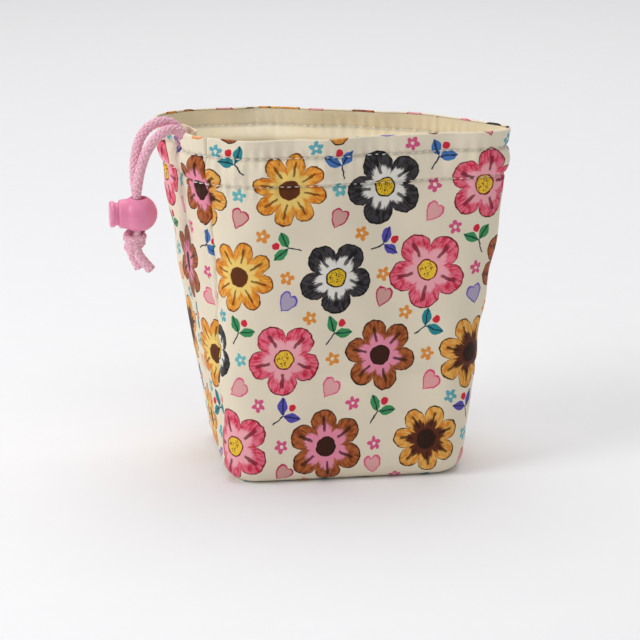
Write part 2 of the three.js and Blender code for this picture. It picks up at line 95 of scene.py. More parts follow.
# Header, channel and the cord's way out
HEADER_HEIGHT = 0.0085
CHANNEL_HEIGHT = 0.0128
CHANNEL_PROUD = 0.0012
CORD_DIAMETER = 0.005
POCKET_DEPTH = 0.0045
EXIT_FROM_SEAM = 0.026
EXIT_WIDTH = 0.015
EXIT_TAPER = 0.009
EXIT_DIP = 0.005
EXIT_SLACK = 0.0014
UPPER_STITCH = BAG_HEIGHT - HEADER_HEIGHT
LOWER_STITCH = UPPER_STITCH - CHANNEL_HEIGHT
MID_CHANNEL = (UPPER_STITCH + LOWER_STITCH) / 2

# Folds
CREASE_HEIGHT = 0.050
CREASE_DEPTH = 0.0011
CREASE_SPREAD = 0.007
RIPPLE_DEPTH = 0.0009
RIPPLE_COUNT = 11
RIPPLE_REACH = 0.038
SIDE_FOLD_DEPTH = 0.0032
SIDE_FOLD_SPREAD = 0.009
SIDE_FOLD_FROM_SEAM = 0.003

# Shares of the girth between which the crease and its sharp line fade in, then out
CREASE_WINDOW = (0.03, 0.1, 0.28, 0.36)
FOLD_LINE_WINDOW = (0.16, 0.22, 0.36, 0.42)

# Fine relief of the cloth: depths and sizes of the waves
DRAPE_DEPTH, DRAPE_SIZE = 0.0011, 0.050
DENT_DEPTH, DENT_SIZE = 0.0008, 0.032
HEADER_WAVE_DEPTH, HEADER_WAVE_SIZE = 0.0009, 0.019
GATHER_DEPTH, GATHER_SIZE = 0.0006, 0.013
FOLD_LINE_DEPTH, FOLD_LINE_SPREAD = 0.0010, 0.0022
PUCKER_DEPTH, PUCKER_PITCH, PUCKER_SPREAD = 0.00038, 0.0047, 0.0042
OUTER_GROOVE, LINING_GROOVE, GROOVE_SPREAD = -0.0008, 0.0002, 0.0011
DRAG_DEPTH, DRAG_PITCH, DRAG_SPREAD = 0.0004, 0.0105, 0.008
RELIEF_FROM, RELIEF_FULL = 0.02, 0.05
CORD_NEAR_BELOW = 0.012

# Cloth as it is seen
OUTER_THICKNESS = 0.0005
LINING_THICKNESS = 0.0004
LINING_SET_IN = 0.0017
RIM_ROLL = 0.0009
SEAM_TUCK = 0.0012
SEAM_TUCK_SPREAD = 0.0007
LINING_RIDGE = 0.0004
SEAM_LEAN = 0.014
STITCH_LENGTH = 0.0026
STITCH_PITCH = 0.0034
THREAD_WIDTH = 0.00058
THREAD_FLATNESS = 0.8
OUTER_STITCH_SET_IN = -0.0001
LINING_STITCH_SET_IN = LINING_SET_IN + 0.00018
OUTER_GRID = (230, 190)
LINING_GRID = (180, 150)

# Cord ends: routes from the channel to the top of the lock, and the tails below the knot
FRONT_STRAND_ROUTE = [
    (-0.0680, -0.0105, 0.1451),
    (-0.0692, -0.0058, 0.1451),
    (-0.0698, -0.0026, 0.1462),
    (-0.0699, -0.0006, 0.1500),
    (-0.0700, 0.0003, 0.1545),
    (-0.0711, 0.0004, 0.1577),
    (-0.0742, -0.0002, 0.1592),
    (-0.0776, -0.0018, 0.1592),
    (-0.0815, -0.0037, 0.1572),
    (-0.0850, -0.0052, 0.1538),
    (-0.0879, -0.0061, 0.1492),
    (-0.0899, -0.0065, 0.1440),
    (-0.0913, -0.0066, 0.1384),
]
REAR_STRAND_ROUTE = [
    (-0.0699, 0.0063, 0.1451),
    (-0.0700, 0.0065, 0.1472),
    (-0.0704, 0.0065, 0.1512),
    (-0.0709, 0.0062, 0.1555),
    (-0.0721, 0.0057, 0.1588),
    (-0.0748, 0.0048, 0.1612),
    (-0.0786, 0.0036, 0.1624),
    (-0.0832, 0.0020, 0.1618),
    (-0.0874, 0.0006, 0.1590),
    (-0.0906, -0.0004, 0.1540),
    (-0.0923, -0.0010, 0.1470),
    (-0.0928, -0.0014, 0.1388),
]
FRONT_TAIL_ROUTE = [
    (-0.0934, -0.0058, 0.1075),
    (-0.0924, -0.0066, 0.1026),
    (-0.0898, -0.0069, 0.0986),
    (-0.0866, -0.0070, 0.0948),
]
REAR_TAIL_ROUTE = [
    (-0.0952, -0.0030, 0.1075),
    (-0.0950, -0.0026, 0.1026),
    (-0.0936, -0.0025, 0.0986),
    (-0.0918, -0.0024, 0.0948),
]
CORD_PINCHED = 0.0034
PAIR_SPREAD = 0.00175

# Cord lock
LOCK_CENTRE = Vector((-0.0915, -0.004, 0.121))
CORD_IN_HOLE = -0.0009
HOLE_WIDTH = 0.006
HOLE_LENGTH = 0.0085
PRESS_TRAVEL = 0.0018
SPRING_WIRE = 0.0006
SPRING_TURNS = 3
BALL_RADIUS = 0.00863
COLLAR_REACH = 0.0093
COLLAR_RADIUS = 0.00665
BORE_RADIUS = 0.00555
BORE_END = 0.0043
POCKET_RADIUS = 0.0029
POCKET_END = 0.00695
STEM_RADIUS = 0.00535
STEM_END = 0.0022
BUTTON_BACK = 0.0113
BUTTON_TOP = 0.0136
BUTTON_RADIUS = 0.0061
CORD_AXIS_X = LOCK_CENTRE.x + CORD_IN_HOLE
KNOT_GAP = 0.0003
KNOT_TOP = LOCK_CENTRE.z - BALL_RADIUS - KNOT_GAP

# Small roundings of the lock
COLLAR_ROUNDING = 0.0009
BORE_ROUNDING = 0.00015
STEM_ROUNDING = 0.0003
BUTTON_BACK_ROUNDING = 0.0005
BUTTON_FACE_ROUNDING = 0.0009
MOULD_LINE_GROWTH = 1.006
HOLE_SIDES = 48
HOLE_FLARE = 0.0007
HOLE_MOUTH = BALL_RADIUS * 0.93


def smooth(x, low, high):
    """0 below low, 1 above high, and an even curve between."""
    share = np.clip((x - low) / (high - low), 0.0, 1.0)
    return share * share * (3 - 2 * share)


def window(x, limits):
    """Rises from 0 to 1 between the first two limits and falls again between the last two."""
    return smooth(x, limits[0], limits[1]) * (1 - smooth(x, limits[2], limits[3]))


def bell(x, spread):
    return np.exp(-((x / spread) ** 2))


WAVES = 9


def wander(x, y, size, seed):
    """Soft uneven waves of about one size, between -1 and 1."""
    draw = np.random.RandomState(seed)
    total = np.zeros_like(x)
    for _ in range(WAVES):
        turn = draw.uniform(0, 2 * math.pi)
        length = size * draw.uniform(0.7, 1.6)
        phase = draw.uniform(0, 2 * math.pi)
        total += np.sin(2 * math.pi * (math.cos(turn) * x + math.sin(turn) * y) / length + phase)
    return total / (WAVES / 2)


class Outline:
    """A closed outline walked by its own length: a share from 0 to 1 gives a point and the way inwards."""

    def __init__(self, points):
        self.loop = np.vstack([points, points[:1]])
        steps = np.hypot(*np.diff(self.loop, axis=0).T)
        self.length = float(steps.sum())
        self.share = np.concatenate([[0.0], np.cumsum(steps)]) / self.length

    def at(self, u):
        u = np.mod(u, 1.0)
        return np.stack([np.interp(u, self.share, self.loop[:, k]) for k in (0, 1)], axis=-1)

    def inward(self, u):
        step = 0.001
        along = self.at(u + step) - self.at(u - step)
        normal = np.stack([-along[..., 1], along[..., 0]], axis=-1)
        return normal / np.linalg.norm(normal, axis=-1, keepdims=True)


def rounded_loop(corners, samples=60):
    """A closed smooth curve through a few corners, with even tension whatever their spacing."""
    found = []
    count = len(corners)
    for k in range(count):
        p0, p1, p2, p3 = (corners[(k + j - 1) % count] for j in range(4))
        d0, d1, d2 = (max(np.linalg.norm(b - a) ** 0.5, 1e-6) for a, b in ((p0, p1), (p1, p2), (p2, p3)))
        m1 = ((p1 - p0) / d0 - (p2 - p0) / (d0 + d1) + (p2 - p1) / d1) * d1
        m2 = ((p2 - p1) / d1 - (p3 - p1) / (d1 + d2) + (p3 - p2) / d2) * d1
        for t in np.linspace(0, 1, samples, endpoint=False):
            bend = (2 * p1 - 2 * p2 + m1 + m2) * t + (-3 * p1 + 3 * p2 - 2 * m1 - m2)
            found.append(p1 + t * (m1 + t * bend))
    return np.array(found)


def mouth_loop():
    half = np.array([MOUTH_WIDTH / 2, MOUTH_DEPTH / 2])
    return rounded_loop(np.array(MOUTH_OUTLINE) * half + np.array([0.0, MOUTH_SET_BACK]))


def base_loop():
    """Rounded rectangle, from the left side seam along the front and round."""
    half, r = BASE_WIDTH / 2, BASE_CORNER_RADIUS
    front = -BASE_SET_FORWARD - BASE_DEPTH / 2
    back = front + BASE_DEPTH
    points = [(-half, front + SIDE_SEAM_FROM_FRONT)]
    centres = [(-half + r, front + r), (half - r, front + r), (half - r, back - r), (-half + r, back - r)]
    for k, (x, y) in enumerate(centres):
        for angle in np.linspace(math.pi + k * math.pi / 2, 1.5 * math.pi + k * math.pi / 2, 24):
            points.append((x + r * math.cos(angle), y + r * math.sin(angle)))
    return np.array(points)


mouth = Outline(mouth_loop())
base = Outline(base_loop())
GIRTH = (mouth.length + base.length) / 2
EXIT_CENTRE = 1 - EXIT_FROM_SEAM / mouth.length


def exit_share(u):
    away = np.abs(np.mod(u + 0.5, 1.0) - EXIT_CENTRE + 0.5) * mouth.length
    return 1 - smooth(away, EXIT_WIDTH / 2, EXIT_WIDTH / 2 + EXIT_TAPER)


def channel_share(z):
    away = np.abs(z - MID_CHANNEL)
    return np.where(away < CHANNEL_HEIGHT / 2, np.cos(math.pi * np.minimum(away / CHANNEL_HEIGHT, 0.5)), 0.0)


def fold_depth(u, z):
    """The large folds that the solids have too: crease, rim ripples and the fold at the side seam."""
    u = np.mod(u, 1.0)
    seam_away = (np.mod(u + 0.5, 1.0) - 0.5) * mouth.length - SIDE_FOLD_FROM_SEAM
    crease = CREASE_DEPTH * bell(z - CREASE_HEIGHT, CREASE_SPREAD) * window(u, CREASE_WINDOW)
    near_rim = smooth(z, BAG_HEIGHT - RIPPLE_REACH, BAG_HEIGHT)
    ripple = RIPPLE_DEPTH * near_rim * np.sin(2 * math.pi * RIPPLE_COUNT * u)
    low = np.sin(math.pi * np.clip(z / LOWER_STITCH, 0, 1))
    side_fold = SIDE_FOLD_DEPTH * bell(seam_away, SIDE_FOLD_SPREAD) * low
    return crease + ripple + side_fold


def fine_relief(u, z, lining=False):
    """Small wrinkles outwards: drape, puckers along the stitching, ripples of the header."""
    x = np.mod(u, 1.0) * GIRTH
    upper = smooth(z, RELIEF_FROM, RELIEF_FULL)
    near_cord = window(z, (LOWER_STITCH - CORD_NEAR_BELOW, LOWER_STITCH, UPPER_STITCH, BAG_HEIGHT))
    drape = DRAPE_DEPTH * wander(x, 0.35 * z, DRAPE_SIZE, 3) * upper * (1 - 0.8 * near_cord)
    dents = DENT_DEPTH * wander(x, z, DENT_SIZE, 11) * upper * (1 - smooth(z, 0.125, 0.14))
    header = HEADER_WAVE_DEPTH * wander(x, 0.2 * z, HEADER_WAVE_SIZE, 5) * smooth(z, UPPER_STITCH, BAG_HEIGHT)
    gathers = GATHER_DEPTH * (1 + wander(x, 0.25 * z, GATHER_SIZE, 7)) * channel_share(z)
    fold_line = FOLD_LINE_DEPTH * bell(z - CREASE_HEIGHT, FOLD_LINE_SPREAD) * window(u, FOLD_LINE_WINDOW)
    total = drape + dents + header + (-gathers if lining else gathers) - fold_line
    groove = LINING_GROOVE if lining else OUTER_GROOVE
    for height in (LOWER_STITCH, UPPER_STITCH):
        away = z - height
        uneven = 1.0 + 0.6 * wander(x, 0 * z, 0.03, 13)
        phase = 3.0 * wander(x, 0 * z, 0.04, 17)
        pucker = PUCKER_DEPTH * np.sin(2 * math.pi * x / PUCKER_PITCH + phase)
        total += pucker * uneven * bell(away, PUCKER_SPREAD) + groove * bell(away, GROOVE_SPREAD)
    seam_away = np.abs(np.mod(u * 2 + 0.5, 1.0) - 0.5) / 2 * GIRTH
    phase = 2.0 * wander(z, x, 0.05, 23)
    drag = DRAG_DEPTH * np.sin(2 * math.pi * (z - 0.4 * seam_away) / DRAG_PITCH + phase)
    return total + drag * bell(seam_away, DRAG_SPREAD) * upper * (1 - smooth(z, 0.13, 0.145))


def wall(u, z, set_in):
    share = z / BAG_HEIGHT
    spread = (share + WALL_BELLY_SHARE * share * (1 - share))[..., None]
    plan = base.at(u) * (1 - spread) + mouth.at(u) * spread
    inward = base.inward(u) * (1 - share)[..., None] + mouth.inward(u) * share[..., None]
    inward /= np.linalg.norm(inward, axis=-1, keepdims=True)
    plan = plan + inward * set_in[..., None]
    return np.concatenate([plan, z[..., None]], axis=-1)


# Shares of a panel's rows: up to the end of the floor, the rounded edge, the wall and the rolled rim
FLOOR_ROWS, EDGE_ROWS, RIM_ROWS = 0.10, 0.15, 0.955
WALL_ROW_SHARES = (EDGE_ROWS, 0.52, 0.66, RIM_ROWS)
OUTER_ROLL = math.radians(165)
LINING_ROLL = math.radians(40)
SEAM_CROWDING = 0.07
LINING_RIM_DROP = RIM_ROLL * 0.6
DIP_STARTS = LOWER_STITCH - 0.003
MID_WALL_ROW = 0.112
LEAN_FROM, LEAN_FULL = 0.02, 0.13
BACK_PRINT_SHIFT = (0.017, 0.0)


def panel_surface(across, up, side, set_in, lining):
    """Points of a panel and their place on the flat cloth, for grid places across and up it from 0 to 1."""
    across = across - SEAM_CROWDING * np.sin(2 * math.pi * across)
    u = across * 0.5 if side == "front" else 0.5 + across * 0.5
    from_left = 1 - across if side == "front" else across
    seam_away = np.minimum(across, 1 - across) * GIRTH / 2
    tuck = (LINING_RIDGE if lining else SEAM_TUCK) * bell(seam_away, SEAM_TUCK_SPREAD)

    rim_dip = LINING_RIM_DROP if lining else EXIT_DIP * exit_share(u + SEAM_LEAN * from_left)
    top = BAG_HEIGHT - RIM_ROLL
    z = np.interp(up, WALL_ROW_SHARES, (BASE_EDGE_RADIUS, MID_WALL_ROW, DIP_STARTS, top))
    z = np.where(z > DIP_STARTS, z - rim_dip * (z - DIP_STARTS) / (top - DIP_STARTS), z)
    u = u + SEAM_LEAN * from_left * smooth(z, LEAN_FROM, LEAN_FULL)
    roll = (LINING_ROLL if lining else OUTER_ROLL) * np.clip((up - RIM_ROWS) / (1 - RIM_ROWS), 0, 1)
    z_up = z + RIM_ROLL * np.sin(roll)
    rolled = RIM_ROLL * (1 - np.cos(roll))

    depth = fold_depth(u, z) - fine_relief(u, z, lining)
    if lining:
        above = np.where(z > MID_CHANNEL, exit_share(u), 0.0)
        depth += POCKET_DEPTH * np.maximum(channel_share(z), above) + EXIT_SLACK * above
        depth -= rolled
    else:
        depth += rolled - CHANNEL_PROUD * channel_share(z)
    on_wall = wall(u, z, set_in + depth + tuck)
    on_wall[..., 2] = z_up

    angle = np.clip((EDGE_ROWS - up) / (EDGE_ROWS - FLOOR_ROWS), 0, 1) * math.pi / 2
    radius = BASE_EDGE_RADIUS - set_in
    on_edge = wall(u, BASE_EDGE_RADIUS * np.cos(angle), BASE_EDGE_RADIUS - radius * np.cos(angle) + tuck)
    on_edge[..., 2] = BASE_EDGE_RADIUS - radius * np.sin(angle)

    seam_ends = np.array([0.0, 0.5])
    ends = base.at(seam_ends) + base.inward(seam_ends) * (BASE_EDGE_RADIUS + SEAM_END_INSET)
    along = (across if side == "front" else 1 - across)[..., None]
    seam = ends[0] * (1 - along) + ends[1] * along
    edge = base.at(u) + base.inward(u) * BASE_EDGE_RADIUS
    share = np.clip(up / FLOOR_ROWS, 0, 1)[..., None]
    floor_height = np.full_like(up, set_in)[..., None]
    on_floor = np.concatenate([seam * (1 - share) + edge * share, floor_height], axis=-1)

    points = np.where((up >= EDGE_ROWS)[..., None], on_wall, on_edge)
    points = np.where((up < FLOOR_ROWS)[..., None], on_floor, points)
    floor_run = np.linalg.norm(seam - edge, axis=-1) * (1 - share[..., 0])
    edge_run = BASE_EDGE_RADIUS * angle
    rise = np.where(up >= EDGE_ROWS, z + RIM_ROLL * roll, BASE_EDGE_RADIUS - edge_run)
    rise = np.where(up < FLOOR_ROWS, rise - floor_run, rise)
    flat = np.stack([u * GIRTH, rise], axis=-1)
    return points, flat if side == "front" else flat + np.array(BACK_PRINT_SHIFT)


def new_piece(bm, name, body, material):
    """A finished piece from a bmesh and material, riding on its body if one is given."""
    mesh = bpy.data.meshes.new(name)
    bm.to_mesh(mesh)
    bm.free()
    for polygon in mesh.polygons:
        polygon.use_smooth = True
    piece = bpy.data.objects.new(name, mesh)
    bpy.context.scene.collection.objects.link(piece)
    mesh.materials.append(material)
    if body:
        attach(piece, body)
    return piece


def grid_of(bm, columns, rows):
    """Adds a square grid to bm: its vertices with their places across and up, from 0 to 1."""
    made = bmesh.ops.create_grid(bm, x_segments=columns, y_segments=rows, size=1.0)
    verts = made["verts"]
    places = np.array([(v.co.x, v.co.y) for v in verts])
    return verts, (places[:, 0] + 1) / 2, (places[:, 1] + 1) / 2


UV_PER_METRE = 10.0


def cloth_panel(side, lining, material):
    """One panel of the outer cloth or of the lining, with its thickness, in place of its solid."""
    name = side + ("_lining" if lining else "_panel")
    node = ("lining_" if lining else "outer_") + side + "_panel"
    bm = bmesh.new()
    verts, across, up = grid_of(bm, *(LINING_GRID if lining else OUTER_GRID))
    points, flat = panel_surface(across, up, side, LINING_SET_IN if lining else 0.0, lining)
    uv = bm.loops.layers.uv.new("flat_cloth")
    place = {}
    for vert, point, where in zip(verts, points, flat):
        vert.co = point
        place[vert] = where * UV_PER_METRE
    for face in bm.faces:
        for loop in face.loops:
            loop[uv].uv = place[loop.vert]
    bm.normal_update()
    facing = sum(face.normal.xy.dot(face.calc_center_median().xy) for face in bm.faces)
    if (facing > 0) == lining:
        bmesh.ops.reverse_faces(bm, faces=bm.faces[:])
    piece = new_piece(bm, name, "bag", material)
    wall_mod = piece.modifiers.new("cloth thickness", "SOLIDIFY")
    wall_mod.thickness = LINING_THICKNESS if lining else OUTER_THICKNESS
    wall_mod.offset = -1.0
    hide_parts(node)


def stitch_row(bm, height, set_in, lining, skip_exit):
    """Adds a row of thread stitches round the bag at one height."""
    count = int(mouth.length / STITCH_PITCH)
    for k in range(count):
        u = np.array([(k + 0.5) / count, (k + 0.5) / count + STITCH_LENGTH / 2 / mouth.length])
        if skip_exit and exit_share(u)[0] > 0.05:
            continue
        z = np.full(2, height)
        depth = fold_depth(u, z) - fine_relief(u, z, lining)
        points = wall(u, z, set_in + depth)
        centre = Vector(points[0])
        along = (Vector(points[1]) - centre).normalized()
        rise = Vector((0, 0, 1))
        outward = along.cross(rise).normalized()
        made = bmesh.ops.create_icosphere(bm, subdivisions=1, radius=0.5)
        turn = Matrix((along, outward, rise)).transposed().to_4x4()
        size = Matrix.Diagonal((STITCH_LENGTH, THREAD_WIDTH * THREAD_FLATNESS, THREAD_WIDTH, 1))
        bmesh.ops.transform(bm, matrix=Matrix.Translation(centre) @ turn @ size, verts=made["verts"])


# Cord

def smooth_route(points, step):
    """A smooth open curve through the points, walked in even steps."""
    points = [Vector(p) for p in points]
    ends = [points[0] * 2 - points[1]] + points + [points[-1] * 2 - points[-2]]
    fine = []
    for k in range(1, len(ends) - 2):
        p0, p1, p2, p3 = ends[k - 1 : k + 3]
        for t in np.linspace(0, 1, 40, endpoint=False):
            a = 2 * p1 + (p2 - p0) * t
            b = (2 * p0 - 5 * p1 + 4 * p2 - p3) * t * t + (3 * p1 - p0 - 3 * p2 + p3) * t ** 3
            fine.append((a + b) / 2)
    fine.append(points[-1])
    fine = np.array(fine)
    run = np.concatenate([[0], np.cumsum(np.linalg.norm(np.diff(fine, axis=0), axis=1))])
    wanted = np.linspace(0, run[-1], max(int(run[-1] / step), 8) + 1)
    return np.stack([np.interp(wanted, run, fine[:, k]) for k in range(3)], axis=-1), wanted


def frames_along(path):
    """Along, side and third directions at each point, with no sudden twist."""
    along = np.gradient(path, axis=0)
    along /= np.linalg.norm(along, axis=1, keepdims=True)
    side = np.zeros_like(path)
    current = np.array([0.0, 1.0, 0.0]) if abs(along[0][1]) < 0.9 else np.array([1.0, 0.0, 0.0])
    for k, direction in enumerate(along):
        current = current - direction * current.dot(direction)
        current /= np.linalg.norm(current)
        side[k] = current
    return along, side, np.cross(along, side)


YARNS_EACH_WAY = 6
BRAID_PITCH = 0.0165
YARN_WIDTH = 0.00190
YARN_THICKNESS = 0.00115
YARN_SIDES = 6
YARN_BEDDING = 0.78
YARN_LIFT = 0.30


def tube_grid(bm, uv, centres, wide, thick, half_wide, half_thick):
    """A closed-section tube along the centres: a grid rolled up, its long edges merged, its ends open."""
    steps = len(centres) - 1
    verts, along, around = grid_of(bm, steps, YARN_SIDES)
    row = np.rint(along * steps).astype(int)
    angle = around * 2 * math.pi
    points = centres[row] + wide[row] * (half_wide[row] * np.cos(angle))[:, None]
    points = points + thick[row] * (half_thick[row] * np.sin(angle))[:, None]
    place = {}
    for vert, point, a, b in zip(verts, points, along, around):
        vert.co = point
        place[vert] = (a * steps, b)
    faces = {face for vert in verts for face in vert.link_faces}
    for face in faces:
        for loop in face.loops:
            loop[uv].uv = place[loop.vert]
    bmesh.ops.remove_doubles(bm, verts=verts, dist=1e-7)


def braid(bm, uv, path, run, scale):
    """Adds a round braid along a path: yarns wound both ways, passing over and under each other."""
    along, side, third = frames_along(path)
    radius = CORD_DIAMETER / 2 * scale
    lay_radius = radius - YARN_THICKNESS * scale * YARN_BEDDING
    turns = 2 * math.pi * run / BRAID_PITCH
    for way in (1, -1):
        for k in range(YARNS_EACH_WAY):
            angle = way * turns + 2 * math.pi * (k + 0.25) / YARNS_EACH_WAY
            out = side * np.cos(angle)[:, None] + third * np.sin(angle)[:, None]
            lift = way * np.cos(YARNS_EACH_WAY * turns) * YARN_LIFT * YARN_THICKNESS * scale
            centres = path + out * (lay_radius + lift)[:, None]
            heading = np.gradient(centres, axis=0)
            heading /= np.linalg.norm(heading, axis=1, keepdims=True)
            wide = np.cross(heading, out)
            wide /= np.linalg.norm(wide, axis=1, keepdims=True)
            tube_grid(bm, uv, centres, wide, out, scale * YARN_WIDTH / 2, scale * YARN_THICKNESS / 2)
    tube_grid(bm, uv, path, side, third, lay_radius, lay_radius)


def strand_scale(path):
    """Full round above the lock and squeezed inside it, as the plunger holds the cord."""
    above = LOCK_CENTRE.z + BALL_RADIUS
    inside = 1 - smooth(path[:, 2], above - 0.005, above + 0.004)
    below = smooth(path[:, 2], KNOT_TOP - 0.004, KNOT_TOP)
    return 1 - (1 - CORD_PINCHED / CORD_DIAMETER) * inside * below


CORD_STEP = 0.0003
OVERLAP_ABOVE_LOCK = 0.0012
LOWER_PINCH = 0.66
TIP_RADIUS = CORD_DIAMETER * 0.44
TIP_FLATNESS = 0.28
KNOT_CORD_SCALE = 0.82
KNOT_TURNS = 1.18
KNOT_CENTRE = Vector((CORD_AXIS_X - 0.0012, LOCK_CENTRE.y, KNOT_TOP - 0.0039))
# Each wrap of the knot: the angle it starts at, its height and its reach
KNOT_WRAPS = ((0.3, 0.0021, 0.0036), (3.4, -0.0016, 0.0032))


def cord_end(name, node, route, tail, side, material):
    """One free end of the cord, in two pieces that overlap inside the lock: the strand from the hem down
    into the lock, and the lower end through the knot, which stays."""
    y = LOCK_CENTRE.y + side * PAIR_SPREAD
    lock_top = (CORD_AXIS_X, y, LOCK_CENTRE.z + BALL_RADIUS + 0.001)
    through = [lock_top, (CORD_AXIS_X, y, LOCK_CENTRE.z), (CORD_AXIS_X, y, KNOT_TOP + KNOT_GAP)]
    path, run = smooth_route(route + through + tail, CORD_STEP)
    strand = slice(0, int(np.argmax(path[:, 2] < LOCK_CENTRE.z)) + 1)
    lower = slice(int(np.argmax(path[:, 2] < lock_top[2] + OVERLAP_ABOVE_LOCK)), len(path))

    bm = bmesh.new()
    uv = bm.loops.layers.uv.new("yarn")
    braid(bm, uv, path[strand], run[strand], strand_scale(path[strand]))
    bmesh.ops.recalc_face_normals(bm, faces=bm.faces[:])
    upper_piece = new_piece(bm, name + "_strand", None, material)
    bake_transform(upper_piece)
    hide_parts(node)

    bm = bmesh.new()
    uv = bm.loops.layers.uv.new("yarn")
    scale = np.minimum(strand_scale(path[lower]), 1 - (1 - LOWER_PINCH) * (path[lower][:, 2] > KNOT_TOP))
    braid(bm, uv, path[lower], run[lower], scale)
    tip = bmesh.ops.create_uvsphere(bm, u_segments=20, v_segments=12, radius=TIP_RADIUS)
    heading = Vector(path[-1] - path[-4]).normalized()
    turn = heading.to_track_quat("Z", "Y").to_matrix().to_4x4()
    squash = Matrix.Diagonal((1, 1, TIP_FLATNESS, 1))
    bmesh.ops.transform(bm, matrix=Matrix.Translation(Vector(path[-1])) @ turn @ squash, verts=tip["verts"])
    bmesh.ops.recalc_face_normals(bm, faces=bm.faces[:])
    lower_piece = new_piece(bm, name + "_tail", "bag", material)
    return upper_piece, lower_piece, path[strand], float(run[strand][-1])


def knot_wraps(name, material):
    """The overhand knot: both cords wound round each other under the lock."""
    bm = bmesh.new()
    uv = bm.loops.layers.uv.new("yarn")
    for start, rise, reach in KNOT_WRAPS:
        points = []
        for t in np.linspace(0, 1, 16):
            angle = start + 2 * math.pi * KNOT_TURNS * t
            lean = 0.0012 * math.sin(angle + 0.6)
            height = rise - 0.0026 * (t - 0.5) + lean
            wrap = Vector((reach * math.cos(angle), 0.86 * reach * math.sin(angle), height))
            points.append(KNOT_CENTRE + wrap)
        path, run = smooth_route(points, CORD_STEP)
        braid(bm, uv, path, run, np.full(len(run), KNOT_CORD_SCALE))
    bmesh.ops.recalc_face_normals(bm, faces=bm.faces[:])
    piece = new_piece(bm, name, "bag", material)
    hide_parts("drawstring_knot")
    return piece


# Cord lock

ROUND_STEPS = 96
SHARP_ANGLE = math.radians(38)


def turned(profile):
    """A turned solid about the lock's axis from (radius, distance towards the button) pairs."""
    bm = bmesh.new()
    verts = [bm.verts.new((-along, radius, 0)) for radius, along in profile]
    edges = [bm.edges.new(pair) for pair in zip(verts, verts[1:])]
    bmesh.ops.spin(
        bm, geom=verts + edges, cent=(0, 0, 0), axis=(1, 0, 0), angle=2 * math.pi,
        steps=ROUND_STEPS, use_merge=True,
    )
    bmesh.ops.remove_doubles(bm, verts=bm.verts[:], dist=1e-6)
    bmesh.ops.recalc_face_normals(bm, faces=bm.faces[:])
    return bm


def arc(cx, cy, radius, start, end, steps):
    """Points of an arc in the profile's plane, angles in degrees from the axis across."""
    angles = [math.radians(start + (end - start) * k / steps) for k in range(steps + 1)]
    return [(cx + radius * math.cos(a), cy + radius * math.sin(a)) for a in angles]


def cord_hole(along):
    """An upright slot with round ends and flared mouths, as a closed solid to cut with."""
    r = HOLE_WIDTH / 2
    straight = HOLE_LENGTH / 2 - r
    bm = bmesh.new()
    top = HOLE_MOUTH
    levels = [(-top - 0.004, 0.0035), (-top, HOLE_FLARE)]
    levels += [(-top + 0.0005, 0.4 * HOLE_FLARE), (-top + 0.0013, 0)]
    levels += [(-z, grow) for z, grow in reversed(levels)]
    rings = []
    for z, grow in levels:
        ring = []
        for k in range(HOLE_SIDES):
            angle = 2 * math.pi * k / HOLE_SIDES
            y = math.copysign(straight, math.sin(angle)) + (r + grow) * math.sin(angle)
            ring.append(bm.verts.new(((r + grow) * math.cos(angle) - along, y, z)))
        rings.append([bm.edges.new(pair) for pair in zip(ring, ring[1:] + ring[:1])])
    for low, high in zip(rings, rings[1:]):
        bmesh.ops.bridge_loops(bm, edges=low + high)
    bmesh.ops.contextual_create(bm, geom=rings[0])
    bmesh.ops.contextual_create(bm, geom=rings[-1])
    bmesh.ops.recalc_face_normals(bm, faces=bm.faces[:])
    return bm


def plain_object(bm, name):
    mesh = bpy.data.meshes.new(name)
    bm.to_mesh(mesh)
    bm.free()
    made = bpy.data.objects.new(name, mesh)
    bpy.context.scene.collection.objects.link(made)
    return made


def with_hole(bm, along):
    """The turned solid with the cord hole cut through it, moved to the lock's place."""
    solid = plain_object(bm, "lock_blank")
    cutter = plain_object(cord_hole(along), "lock_cutter")
    cut = solid.modifiers.new("cord hole", "BOOLEAN")
    cut.object = cutter
    cut.solver = "EXACT"
    graph = bpy.context.evaluated_depsgraph_get()
    mesh = bpy.data.meshes.new_from_object(solid.evaluated_get(graph))
    done = bmesh.new()
    done.from_mesh(mesh)
    for old in (solid, cutter):
        bpy.data.objects.remove(old)
    bmesh.ops.translate(done, vec=LOCK_CENTRE, verts=done.verts[:])
    done.normal_update()
    for edge in done.edges:
        sharp = len(edge.link_faces) == 2 and edge.calc_face_angle(0) > SHARP_ANGLE
        edge.smooth = not sharp
    return done


def lock_body(material):
    end = math.degrees(math.acos(COLLAR_RADIUS / BALL_RADIUS))
    profile = arc(0, 0, BALL_RADIUS, -90, end - 4, 40)
    profile[0] = (0, -BALL_RADIUS)
    rounding = COLLAR_ROUNDING
    profile += arc(COLLAR_RADIUS - rounding, COLLAR_REACH - rounding, rounding, 0, 90, 10)
    rounding = BORE_ROUNDING
    profile += arc(BORE_RADIUS + rounding, COLLAR_REACH - rounding, rounding, 90, 180, 3)
    profile += [(BORE_RADIUS, -BORE_END), (POCKET_RADIUS, -BORE_END)]
    profile += [(POCKET_RADIUS, -POCKET_END), (0, -POCKET_END)]
    bm = turned(profile)
    rim = [v for v in bm.verts if math.hypot(v.co.x, v.co.y) > 0.98 * BALL_RADIUS]
    for vert in rim:
        if abs(vert.co.z) < 1e-6:
            vert.co *= MOULD_LINE_GROWTH
    piece = new_piece(with_hole(bm, 0.0), "lock_ball", "cord_lock", material)
    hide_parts("cord_lock_body")
    return piece


